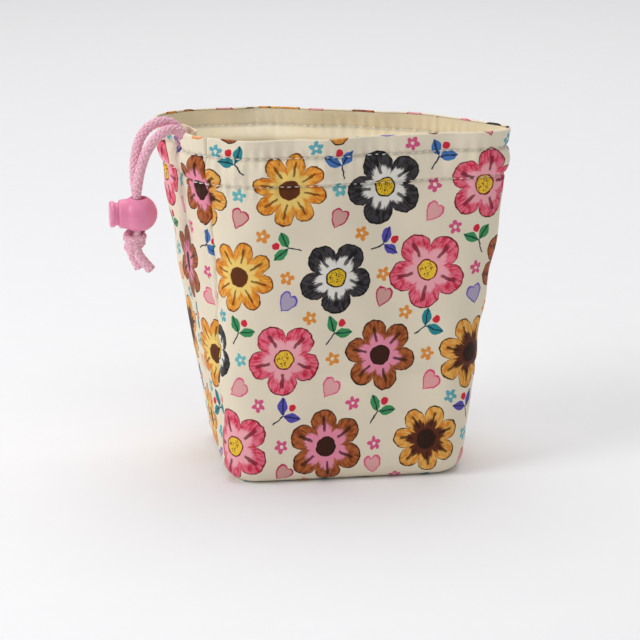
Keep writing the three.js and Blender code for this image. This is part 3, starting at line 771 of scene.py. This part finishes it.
def lock_plunger(material):
    rounding = STEM_ROUNDING
    profile = [(0, -STEM_END)] + arc(STEM_RADIUS - rounding, -STEM_END + rounding, rounding, -90, 0, 4)
    profile += [(STEM_RADIUS, BUTTON_BACK - 0.0004)]
    rounding = BUTTON_BACK_ROUNDING
    profile += arc(BUTTON_RADIUS - rounding, BUTTON_BACK + rounding, rounding, -90, 0, 5)
    rounding = BUTTON_FACE_ROUNDING
    profile += arc(BUTTON_RADIUS - rounding, BUTTON_TOP - rounding, rounding, 0, 90, 8)
    profile += [(0.003, BUTTON_TOP - 0.00015), (0, BUTTON_TOP - 0.0002)]
    solid = with_hole(turned(profile), PRESS_TRAVEL)
    piece = new_piece(solid, "lock_button", "lock_button", material)
    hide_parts("cord_lock_plunger")
    return piece


def coil_spring(material):
    """The spring behind the plunger, coiled along the box of its solid."""
    low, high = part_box("cord_lock_spring")
    middle = (low + high) / 2
    coil_radius = (high.y - low.y) / 2 - SPRING_WIRE / 2
    share = np.linspace(0, 1, 49)
    angle = share * 2 * math.pi * SPRING_TURNS
    x = high.x - SPRING_WIRE / 2 - share * (high.x - low.x - SPRING_WIRE)
    y = middle.y + coil_radius * np.cos(angle)
    z = middle.z + coil_radius * np.sin(angle)
    path = np.stack([x, y, z], axis=-1)
    _, side, third = frames_along(path)
    bm = bmesh.new()
    uv = bm.loops.layers.uv.new("wire")
    half = np.full(len(path), SPRING_WIRE / 2)
    tube_grid(bm, uv, path, side, third, half, half)
    bmesh.ops.recalc_face_normals(bm, faces=bm.faces[:])
    piece = new_piece(bm, "lock_spring", "cord_lock", material)
    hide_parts("cord_lock_spring")
    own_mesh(piece)
    return piece


# Materials

class Graph:
    """Short calls for wiring a node tree: plain numbers set a socket, other things are linked to it."""

    def __init__(self, tree):
        self.tree = tree

    def add(self, kind, settings=None, **inputs):
        node = self.tree.nodes.new(kind)
        for name, value in (settings or {}).items():
            setattr(node, name, value)
        for name, value in inputs.items():
            self.put(node.inputs[name.replace("_", " ")], value)
        return node

    def put(self, socket, value):
        if isinstance(value, bpy.types.NodeSocket):
            self.tree.links.new(value, socket)
        else:
            socket.default_value = value

    def math(self, operation, a, b=0.0, c=0.0, clamp=False):
        node = self.tree.nodes.new("ShaderNodeMath")
        node.operation = operation
        node.use_clamp = clamp
        for socket, value in zip(node.inputs, (a, b, c)):
            self.put(socket, value)
        return node.outputs[0]

    def plus(self, a, b):
        return self.math("ADD", a, b)

    def minus(self, a, b):
        return self.math("SUBTRACT", a, b)

    def times(self, a, b):
        return self.math("MULTIPLY", a, b)

    def step(self, value, low, high):
        """0 below low, 1 above high, soft between; high below low turns it round."""
        node = self.tree.nodes.new("ShaderNodeMapRange")
        node.interpolation_type = "SMOOTHSTEP"
        flip = high < low
        self.put(node.inputs["Value"], value)
        node.inputs["From Min"].default_value = min(low, high)
        node.inputs["From Max"].default_value = max(low, high)
        node.inputs["To Min"].default_value = 1.0 if flip else 0.0
        node.inputs["To Max"].default_value = 0.0 if flip else 1.0
        return node.outputs["Result"]

    def mix(self, factor, a, b, blend="MIX"):
        node = self.tree.nodes.new("ShaderNodeMix")
        node.data_type = "RGBA"
        node.blend_type = blend
        for socket, value in zip((node.inputs[0], node.inputs[6], node.inputs[7]), (factor, a, b)):
            self.put(socket, value)
        return node.outputs[2]

    def ramp(self, factor, stops, interpolation="LINEAR"):
        node = self.tree.nodes.new("ShaderNodeValToRGB")
        node.color_ramp.interpolation = interpolation
        elements = node.color_ramp.elements
        while len(elements) < len(stops):
            elements.new(0.5)
        for element, (place, colour) in zip(elements, stops):
            element.position = place
            element.color = colour
        self.put(node.inputs[0], factor)
        return node.outputs[0]

    def one_of_five(self, pick, *shades):
        """One of five colours, given as they look on screen, by a number from 0 to 1."""
        return self.ramp(pick, [(k / 5, colour(*shade)) for k, shade in enumerate(shades)], "CONSTANT")

    def length(self, x, y):
        """How far the point x, y lies from the middle."""
        return self.math("SQRT", self.plus(self.times(x, x), self.times(y, y)))

    def split(self, vector):
        node = self.tree.nodes.new("ShaderNodeSeparateXYZ")
        self.put(node.inputs[0], vector)
        return node.outputs

    def join(self, x, y, z=0.0):
        node = self.tree.nodes.new("ShaderNodeCombineXYZ")
        for socket, value in zip(node.inputs, (x, y, z)):
            self.put(socket, value)
        return node.outputs[0]

    def noise(self, vector, scale, detail=2.0, roughness=0.5):
        node = self.tree.nodes.new("ShaderNodeTexNoise")
        self.put(node.inputs["Vector"], vector)
        for name, value in (("Scale", scale), ("Detail", detail), ("Roughness", roughness)):
            node.inputs[name].default_value = value
        return node.outputs[0]


def colour(red, green, blue):
    """A colour as it looks on screen, 0 to 255, in the renderer's linear values."""
    def linear(value):
        value /= 255
        return value / 12.92 if value <= 0.04045 else ((value + 0.055) / 1.055) ** 2.4
    return (linear(red), linear(green), linear(blue), 1.0)


def new_group(name, inputs, outputs):
    """An empty shader node group with named sockets: its graph, its input sockets and its output node."""
    tree = bpy.data.node_groups.new(name, "ShaderNodeTree")
    for label, kind, value in inputs:
        socket = tree.interface.new_socket(label, in_out="INPUT", socket_type=kind)
        if value is not None:
            socket.default_value = value
    for label, kind in outputs:
        tree.interface.new_socket(label, in_out="OUTPUT", socket_type=kind)
    graph = Graph(tree)
    return tree, graph, graph.add("NodeGroupInput").outputs, graph.add("NodeGroupOutput")


FLOAT, VECTOR, COLOUR = "NodeSocketFloat", "NodeSocketVector", "NodeSocketColor"


def make_weave_group():
    """Plain weave: height of the threads and a faint shade, from flat cloth coordinates in millimetres."""
    tree, g, given, out = new_group(
        "plain_weave",
        [("Flat", VECTOR, None), ("Thread", FLOAT, 0.45)],
        [("Height", FLOAT), ("Shade", FLOAT)],
    )
    wobble = g.noise(given["Flat"], 0.6, 2.0)
    x, y, _ = g.split(given["Flat"])
    shift = g.times(g.minus(wobble, 0.5), 0.35)
    across = g.math("DIVIDE", g.plus(x, shift), given["Thread"])
    up = g.math("DIVIDE", g.plus(y, shift), given["Thread"])
    warp = g.math("SINE", g.times(across, math.pi))
    weft = g.math("SINE", g.times(up, math.pi))
    turn = g.times(warp, weft)
    slub = g.noise(g.join(g.times(x, 0.25), g.times(y, 3.0)), 1.0, 2.0)
    height = g.plus(g.times(turn, 0.5), g.times(slub, 0.35))
    g.put(out.inputs["Height"], height)
    g.put(out.inputs["Shade"], g.plus(0.95, g.times(height, 0.07)))
    return tree


def make_stitch_shade_group():
    """Painted shade: darkens the cloth along the grooves where the stitching draws it in, from flat cloth
    coordinates in millimetres.
    """
    inputs = [("Flat", VECTOR, None), ("Depth", FLOAT, 0.2)]
    tree, g, given, out = new_group("stitch_shade", inputs, [("Shade", FLOAT)])
    _, height, _ = g.split(given["Flat"])
    drawn_in = 0.0
    for row in (LOWER_STITCH, UPPER_STITCH):
        away = g.math("ABSOLUTE", g.minus(height, row * 1000))
        drawn_in = g.plus(g.step(away, 1.3, 0.2), drawn_in)
    g.put(out.inputs["Shade"], g.minus(1.0, g.times(drawn_in, given["Depth"])))
    return tree


def make_cell_group():
    """Places one motif in each cell of a staggered repeat: its coordinates, a pick of five and a chance."""
    tree, g, given, out = new_group(
        "staggered_repeat",
        [
            ("Flat", VECTOR, None),
            ("Width", FLOAT, 43.0),
            ("Height", FLOAT, 37.0),
            ("Shift X", FLOAT, 0.0),
            ("Shift Y", FLOAT, 0.0),
            ("Jitter", FLOAT, 2.0),
            ("Tilt", FLOAT, 0.5),
        ],
        [("X", FLOAT), ("Y", FLOAT), ("Pick", FLOAT), ("Chance", FLOAT)],
    )
    x, y, _ = g.split(given["Flat"])
    y = g.math("DIVIDE", g.minus(y, given["Shift Y"]), given["Height"])
    row = g.math("FLOOR", y)
    odd = g.math("FLOORED_MODULO", row, 2.0)
    x = g.math("DIVIDE", g.minus(x, given["Shift X"]), given["Width"])
    x = g.plus(x, g.times(odd, 0.5))
    column = g.math("FLOOR", x)
    dice = g.add("ShaderNodeTexWhiteNoise", {"noise_dimensions": "2D"}, Vector=g.join(column, row))
    red, green, blue = g.add("ShaderNodeSeparateColor", None, Color=dice.outputs["Color"]).outputs
    local_x = g.times(g.minus(g.minus(x, column), 0.5), given["Width"])
    local_y = g.times(g.minus(g.minus(y, row), 0.5), given["Height"])
    twice = g.times(given["Jitter"], 2.0)
    local_x = g.plus(local_x, g.times(g.minus(red, 0.5), twice))
    local_y = g.plus(local_y, g.times(g.minus(green, 0.5), twice))
    angle = g.times(g.minus(blue, 0.5), g.times(given["Tilt"], 2.0))
    cosine, sine = g.math("COSINE", angle), g.math("SINE", angle)
    turned_x = g.minus(g.times(local_x, cosine), g.times(local_y, sine))
    turned_y = g.plus(g.times(local_x, sine), g.times(local_y, cosine))
    pick = g.plus(g.times(column, 2.0), g.times(row, 3.0))
    pick = g.math("DIVIDE", g.plus(g.math("FLOORED_MODULO", pick, 5.0), 0.5), 5.0)
    for label, value in (("X", turned_x), ("Y", turned_y), ("Pick", pick), ("Chance", dice.outputs["Value"])):
        g.put(out.inputs[label], value)
    return tree


PETAL_COUNTS = (5, 8, 6, 5, 7)


def make_bloom_group():
    """A large painted blossom, one of five kinds by Pick: its colour and where it covers the cloth."""
    tree, g, given, out = new_group(
        "painted_bloom",
        [("X", FLOAT, 0.0), ("Y", FLOAT, 0.0), ("Pick", FLOAT, 0.1), ("Chance", FLOAT, 0.5)],
        [("Color", COLOUR), ("Mask", FLOAT)],
    )
    x, y, pick = given["X"], given["Y"], given["Pick"]
    spread = g.length(x, y)
    angle = g.math("ARCTAN2", y, x)
    tenths = [(k / 5, (n / 10, n / 10, n / 10, 1)) for k, n in enumerate(PETAL_COUNTS)]
    counts = g.add("ShaderNodeSeparateColor", None, Color=g.ramp(pick, tenths, "CONSTANT")).outputs[0]
    petals = g.math("ROUND", g.times(counts, 10.0))
    wave = g.math("ABSOLUTE", g.math("COSINE", g.times(angle, g.times(petals, 0.5))))
    lobe = g.math("POWER", wave, 0.55)
    size = g.plus(15.8, g.times(given["Chance"], 2.2))
    reach = g.times(g.plus(0.60, g.times(lobe, 0.40)), size)
    share = g.math("DIVIDE", spread, reach)
    flat = g.join(x, y, g.times(pick, 40.0))
    brush = g.noise(flat, 0.45, 3.0, 0.6)
    fan = [g.times(angle, 9.0), g.times(spread, 0.12), g.times(pick, 9.0)]
    ray = g.noise(g.join(*fan), 1.6, 2.0)

    deep = g.one_of_five(
        pick, (214, 38, 72), (222, 118, 22), (128, 58, 24), (30, 26, 28), (226, 132, 40)
    )
    light = g.one_of_five(
        pick, (246, 122, 146), (248, 178, 70), (190, 104, 52), (70, 66, 70), (246, 190, 96)
    )
    inner = g.one_of_five(
        pick, (252, 176, 186), (250, 214, 120), (244, 150, 176), (240, 236, 228), (96, 44, 22)
    )
    heart = g.one_of_five(
        pick, (250, 206, 60), (96, 48, 18), (64, 28, 14), (240, 196, 40), (44, 22, 14)
    )
    line = g.one_of_five(
        pick, (120, 10, 34), (110, 52, 8), (48, 18, 8), (12, 10, 12), (60, 26, 10)
    )

    shade = g.plus(g.times(ray, 0.75), g.times(brush, 0.45))
    paint = g.mix(g.step(shade, 0.45, 0.72), deep, light)
    inside = g.plus(share, g.times(g.minus(ray, 0.5), 0.35))
    paint = g.mix(g.step(inside, 0.66, 0.54), paint, inner)
    vein = g.step(g.times(g.minus(1.0, wave), spread), 0.30, 0.12)
    vein = g.times(vein, g.times(g.step(share, 0.36, 0.42), g.step(share, 0.84, 0.76)))
    paint = g.mix(g.times(vein, 0.85), paint, line)
    paint = g.mix(g.step(spread, 4.9, 4.6), paint, line)
    paint = g.mix(g.step(spread, 4.2, 3.9), paint, heart)
    specks = g.noise(flat, 1.6, 1.0)
    paint = g.mix(g.times(g.step(spread, 3.6, 3.2), g.step(specks, 0.55, 0.62)), paint, line)
    edge = g.times(g.minus(1.0, share), reach)
    paint = g.mix(g.step(edge, 0.85, 0.55), paint, line)
    g.put(out.inputs["Color"], paint)
    g.put(out.inputs["Mask"], g.step(edge, -0.05, 0.12))
    return tree


def make_heart_group():
    """A small outlined heart: where its fill and its outline cover the cloth."""
    tree, g, given, out = new_group(
        "little_heart",
        [("X", FLOAT, 0.0), ("Y", FLOAT, 0.0), ("Size", FLOAT, 5.0)],
        [("Fill", FLOAT), ("Line", FLOAT)],
    )
    x = g.math("DIVIDE", g.math("ABSOLUTE", given["X"]), given["Size"])
    y = g.math("DIVIDE", given["Y"], given["Size"])
    lifted = g.minus(y, g.times(g.math("SQRT", x), 0.62))
    reach = g.length(x, lifted)
    g.put(out.inputs["Fill"], g.step(reach, 0.82, 0.78))
    g.put(out.inputs["Line"], g.times(g.step(reach, 0.82, 0.78), g.step(reach, 0.64, 0.68)))
    return tree


def make_sprig_group():
    """A small pair of leaves on a stalk, with a berry."""
    tree, g, given, out = new_group(
        "leaf_sprig",
        [("X", FLOAT, 0.0), ("Y", FLOAT, 0.0)],
        [("Leaf", FLOAT), ("Stalk", FLOAT), ("Berry", FLOAT)],
    )
    x, y = g.math("ABSOLUTE", given["X"]), given["Y"]
    along = g.plus(g.times(x, 0.78), g.times(y, 0.62))
    over = g.minus(g.times(y, 0.78), g.times(x, 0.62))
    half_turn = g.times(g.math("DIVIDE", along, 7.0, clamp=True), math.pi)
    belly = g.times(g.math("SINE", half_turn), 1.9)
    inside = g.minus(belly, g.math("ABSOLUTE", over))
    g.put(out.inputs["Leaf"], g.step(inside, 0.0, 0.15))
    rib = g.step(g.math("ABSOLUTE", over), 0.32, 0.16)
    stalk_run = g.times(g.step(y, 0.4, 0.2), g.step(y, -5.2, -4.9))
    stalk = g.times(g.step(x, 0.35, 0.2), stalk_run)
    g.put(out.inputs["Stalk"], g.math("MAXIMUM", g.times(rib, g.step(inside, 0.3, 0.5)), stalk))
    reach = g.length(x, g.minus(y, 4.6))
    g.put(out.inputs["Berry"], g.step(reach, 1.5, 1.3))
    return tree


def group_node(g, tree, **inputs):
    node = g.tree.nodes.new("ShaderNodeGroup")
    node.node_tree = tree
    for name, value in inputs.items():
        g.put(node.inputs[name.replace("_", " ")], value)
    return node.outputs


REPEAT_WIDTH = 45.0
REPEAT_HEIGHT = 39.0
SPRIG_SCALE = 1.25


def make_print_group():
    """The whole print over cream cloth: blossoms, hearts, sprigs and dots on a staggered repeat."""
    inputs = [("Flat", VECTOR, None), ("Ground", COLOUR, None)]
    tree, g, given, out = new_group("blossom_print", inputs, [("Color", COLOUR)])
    blur = g.add("ShaderNodeTexNoise", None, Vector=given["Flat"], Scale=0.35, Detail=2.0)
    wobble = g.add("ShaderNodeVectorMath", {"operation": "MULTIPLY_ADD"})
    g.put(wobble.inputs[0], blur.outputs["Color"])
    wobble.inputs[1].default_value = (1.6, 1.6, 0.0)
    g.put(wobble.inputs[2], given["Flat"])
    flat = wobble.outputs[0]
    cell, bloom, heart, sprig = make_cell_group(), make_bloom_group(), make_heart_group(), make_sprig_group()
    size = {"Width": REPEAT_WIDTH, "Height": REPEAT_HEIGHT}

    hearts = group_node(g, cell, Flat=flat, Shift_Y=REPEAT_HEIGHT * 2 / 3, Jitter=1.5, Tilt=0.9, **size)
    mark = group_node(g, heart, X=hearts["X"], Y=hearts["Y"], Size=5.2)
    tint = g.one_of_five(
        hearts["Chance"], (232, 70, 120), (240, 140, 40), (196, 40, 90), (104, 84, 190), (236, 96, 140)
    )
    paint = g.mix(mark["Fill"], given["Ground"], g.mix(0.55, given["Ground"], tint))
    paint = g.mix(mark["Line"], paint, tint)

    sprigs = group_node(g, cell, Flat=flat, Shift_Y=-REPEAT_HEIGHT * 2 / 3, Jitter=1.5, Tilt=1.4, **size)
    small_x = g.math("DIVIDE", sprigs["X"], SPRIG_SCALE)
    small_y = g.math("DIVIDE", sprigs["Y"], SPRIG_SCALE)
    mark = group_node(g, sprig, X=small_x, Y=small_y)
    tint = g.one_of_five(
        sprigs["Chance"], (58, 150, 160), (70, 120, 190), (60, 150, 90), (90, 80, 180), (40, 140, 150)
    )
    paint = g.mix(mark["Leaf"], paint, tint)
    paint = g.mix(mark["Stalk"], paint, colour(28, 40, 60))
    paint = g.mix(mark["Berry"], paint, colour(222, 40, 62))

    for shift_x, shift_y, first in ((0.5, 0.0, colour(104, 190, 196)), (0.25, 0.5, colour(96, 176, 190))):
        dots = group_node(
            g, cell, Flat=flat, Shift_X=REPEAT_WIDTH * shift_x, Shift_Y=REPEAT_HEIGHT * shift_y,
            Jitter=1.2, Tilt=3.0, **size,
        )
        reach = g.length(dots["X"], dots["Y"])
        angle = g.math("ARCTAN2", dots["Y"], dots["X"])
        turn = g.math("ABSOLUTE", g.math("COSINE", g.times(angle, 2.5)))
        edge = g.minus(g.plus(1.7, g.times(turn, 1.8)), reach)
        stops = [(0.0, first), (0.5, colour(236, 150, 60)), (0.75, colour(226, 90, 140))]
        tint = g.ramp(dots["Chance"], stops, "CONSTANT")
        paint = g.mix(g.step(edge, 0.0, 0.2), paint, tint)
        paint = g.mix(g.step(reach, 0.9, 0.7), paint, given["Ground"])

    blooms = group_node(g, cell, Flat=flat, Jitter=2.0, Tilt=0.6, **size)
    mark = group_node(g, bloom, X=blooms["X"], Y=blooms["Y"], Pick=blooms["Pick"], Chance=blooms["Chance"])
    paint = g.mix(mark["Mask"], paint, mark["Color"])
    g.put(out.inputs["Color"], paint)
    return tree


def new_material(name):
    material = bpy.data.materials.new(name)
    material.use_nodes = True
    graph = Graph(material.node_tree)
    shader = material.node_tree.nodes["Principled BSDF"]
    return material, graph, shader


def flat_millimetres(g, layer):
    uv = g.add("ShaderNodeUVMap", {"uv_map": layer})
    scale = g.add("ShaderNodeVectorMath", {"operation": "SCALE"})
    g.put(scale.inputs[0], uv.outputs[0])
    scale.inputs["Scale"].default_value = 1000 / UV_PER_METRE
    return scale.outputs[0]


CREAM = colour(243, 231, 207)
# The lining's own cream, made brighter and yellower as painted light: it stands in for light shining through
# the back wall into the bag
LINING_CREAM = colour(254, 242, 214)


def cotton(name, weave, stitch_shade, printed):
    material, g, shader = new_material(name)
    flat = flat_millimetres(g, "flat_cloth")
    threads = group_node(g, weave, Flat=flat, Thread=0.42)
    cloud = g.noise(flat, 0.03, 3.0)
    if printed:
        paint = group_node(g, make_print_group(), Flat=flat, Ground=CREAM)["Color"]
    else:
        # Lining cream in random patches, brightened and yellowed as painted light from light through the back
        # wall
        paint = g.mix(g.step(cloud, 0.35, 0.7), LINING_CREAM, colour(252, 236, 202))
    # Painted shade of the weave and of the stitching grooves, times a faint random tone of the cloth
    painted_shade_and_tone = g.times(threads["Shade"], g.plus(0.97, g.times(cloud, 0.06)))
    painted_shade_and_tone = g.times(painted_shade_and_tone, group_node(g, stitch_shade, Flat=flat, Depth=0.2)["Shade"])
    g.put(shader.inputs["Base Color"], g.mix(1.0, paint, g.join(painted_shade_and_tone, painted_shade_and_tone, painted_shade_and_tone), "MULTIPLY"))
    rough = g.plus(0.84, g.times(threads["Height"], 0.06))
    g.put(shader.inputs["Roughness"], rough)
    shader.inputs["Sheen Weight"].default_value = 0.12
    shader.inputs["Specular IOR Level"].default_value = 0.25
    bump = g.add("ShaderNodeBump", None, Height=threads["Height"], Strength=0.35, Distance=0.00012)
    g.put(shader.inputs["Normal"], bump.outputs[0])
    return material


def thread_material():
    material, g, shader = new_material("sewing_thread")
    where = g.add("ShaderNodeTexCoord").outputs["Object"]
    twist = g.noise(where, 2600.0, 2.0)
    g.put(shader.inputs["Base Color"], g.mix(twist, colour(250, 246, 236), colour(255, 254, 250)))
    g.put(shader.inputs["Roughness"], g.plus(0.6, g.times(twist, 0.2)))
    return material


def cord_material():
    material, g, shader = new_material("pink_yarn")
    along, around, _ = g.split(g.add("ShaderNodeUVMap", {"uv_map": "yarn"}).outputs[0])
    where = g.add("ShaderNodeTexCoord").outputs["Object"]
    fibre = g.noise(g.join(g.times(along, 0.25), g.times(around, 14.0)), 1.0, 2.0)
    patch = g.noise(where, 900.0, 2.0)
    tone = g.plus(g.times(fibre, 0.6), g.times(patch, 0.4))
    pinks = [(0.3, colour(234, 156, 182)), (0.55, colour(247, 196, 212)), (0.75, colour(255, 226, 234))]
    g.put(shader.inputs["Base Color"], g.ramp(tone, pinks))
    g.put(shader.inputs["Roughness"], g.plus(0.62, g.times(fibre, 0.25)))
    shader.inputs["Sheen Weight"].default_value = 0.25
    bump = g.add("ShaderNodeBump", None, Height=fibre, Strength=0.5, Distance=0.0002)
    g.put(shader.inputs["Normal"], bump.outputs[0])
    return material


def plastic_material():
    material, g, shader = new_material("pink_plastic")
    where = g.add("ShaderNodeTexCoord").outputs["Object"]
    cloud = g.noise(where, 120.0, 3.0)
    grain = g.noise(where, 2200.0, 2.0)
    pink = g.mix(g.step(cloud, 0.3, 0.7), colour(238, 136, 174), colour(245, 151, 187))
    g.put(shader.inputs["Base Color"], pink)
    scuffs = g.step(g.noise(where, 420.0, 4.0, 0.7), 0.58, 0.72)
    g.put(shader.inputs["Roughness"], g.plus(0.34, g.times(scuffs, 0.16)))
    shader.inputs["Subsurface Weight"].default_value = 0.12
    shader.inputs["Subsurface Radius"].default_value = (0.002, 0.001, 0.001)
    bump = g.add("ShaderNodeBump", None, Height=grain, Strength=0.06, Distance=0.0001)
    g.put(shader.inputs["Normal"], bump.outputs[0])
    return material


def wire_material():
    material, g, shader = new_material("spring_wire")
    where = g.add("ShaderNodeTexCoord").outputs["Object"]
    drawn = g.noise(where, 3000.0, 2.0)
    g.put(shader.inputs["Base Color"], g.mix(drawn, colour(176, 178, 182), colour(206, 208, 212)))
    shader.inputs["Metallic"].default_value = 1.0
    g.put(shader.inputs["Roughness"], g.plus(0.22, g.times(drawn, 0.2)))
    return material


# Camera, light and floor

def make_camera():
    data = bpy.data.cameras.new("photo_camera")
    data.lens = CAMERA_LENS_MM
    data.sensor_width = 36.0
    camera = bpy.data.objects.new("photo_camera", data)
    camera.location = CAMERA_PLACE
    look = Vector(CAMERA_TARGET) - Vector(CAMERA_PLACE)
    camera.rotation_euler = look.to_track_quat("-Z", "Y").to_euler()
    bpy.context.scene.collection.objects.link(camera)
    bpy.context.scene.camera = camera


def soft_lamp(name, place, target, size, power):
    data = bpy.data.lights.new(name, "AREA")
    data.shape = "DISK"
    data.size = size
    data.energy = power
    lamp = bpy.data.objects.new(name, data)
    lamp.location = place
    lamp.rotation_euler = (Vector(target) - Vector(place)).to_track_quat("-Z", "Y").to_euler()
    bpy.context.scene.collection.objects.link(lamp)


def make_floor():
    bm = bmesh.new()
    bmesh.ops.create_grid(bm, x_segments=2, y_segments=2, size=6.0)
    floor = plain_object(bm, "studio_floor")
    material, g, shader = new_material("studio_paper")
    where = g.add("ShaderNodeTexCoord").outputs["Object"]
    paper = g.mix(g.noise(where, 40.0), colour(246, 246, 248), colour(248, 248, 250))
    g.put(shader.inputs["Base Color"], paper)
    shader.inputs["Roughness"].default_value = 0.9
    shader.inputs["Specular IOR Level"].default_value = 0.1
    shader.inputs["Emission Color"].default_value = (1, 1, 1, 1)
    seen = g.add("ShaderNodeLightPath").outputs["Is Camera Ray"]
    far = g.step(g.split(where)[1], 0.2, 1.8)
    g.put(shader.inputs["Emission Strength"], g.times(seen, g.times(far, 0.06)))
    floor.data.materials.append(material)


def make_light():
    bpy.context.scene.view_settings.view_transform = "Standard"
    world = bpy.data.worlds.new("studio")
    world.use_nodes = True
    world.node_tree.nodes["Background"].inputs["Color"].default_value = (1.0, 1.0, 1.0, 1.0)
    world.node_tree.nodes["Background"].inputs["Strength"].default_value = 0.30
    bpy.context.scene.world = world
    soft_lamp("top_softbox", (0.1, 0.8, 2.2), (0, 0, 0.1), 2.4, 30.0)
    soft_lamp("left_softbox", (-1.15, -0.30, 0.75), (-0.02, 0, 0.08), 0.7, 7.0)
    soft_lamp("high_front_softbox", (0.3, -1.0, 1.9), (0, 0, 0.1), 1.2, 5.0)


# The bag

make_camera()
make_light()
make_floor()

yarn = cord_material()
front_strand, front_tail, front_path, front_length = cord_end(
    "front_cord", "drawstring_front_strand", FRONT_STRAND_ROUTE, FRONT_TAIL_ROUTE, -1, yarn
)
rear_strand, rear_tail, rear_path, rear_length = cord_end(
    "rear_cord", "drawstring_rear_strand", REAR_STRAND_ROUTE, REAR_TAIL_ROUTE, 1, yarn
)
knot = knot_wraps("cord_knot", yarn)

plastic = plastic_material()
ball = lock_body(plastic)
button = lock_plunger(plastic)
spring = coil_spring(wire_material())

weave_group = make_weave_group()
stitch_shade_group = make_stitch_shade_group()
printed_cotton = cotton("printed_cotton", weave_group, stitch_shade_group, True)
lining_cotton = cotton("lining_cotton", weave_group, stitch_shade_group, False)
for is_lining, cloth in ((False, printed_cotton), (True, lining_cotton)):
    for bag_side in ("front", "back"):
        cloth_panel(bag_side, is_lining, cloth)

thread = thread_material()
stitch_bm = bmesh.new()
for row_height, with_gap in ((LOWER_STITCH, False), (UPPER_STITCH, True)):
    stitch_row(stitch_bm, row_height, OUTER_STITCH_SET_IN, False, with_gap)
    stitch_row(stitch_bm, row_height, LINING_STITCH_SET_IN, True, with_gap)
new_piece(stitch_bm, "channel_stitching", "bag", thread)

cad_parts["drawstring_loop"].data.materials.clear()
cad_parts["drawstring_loop"].data.materials.append(yarn)
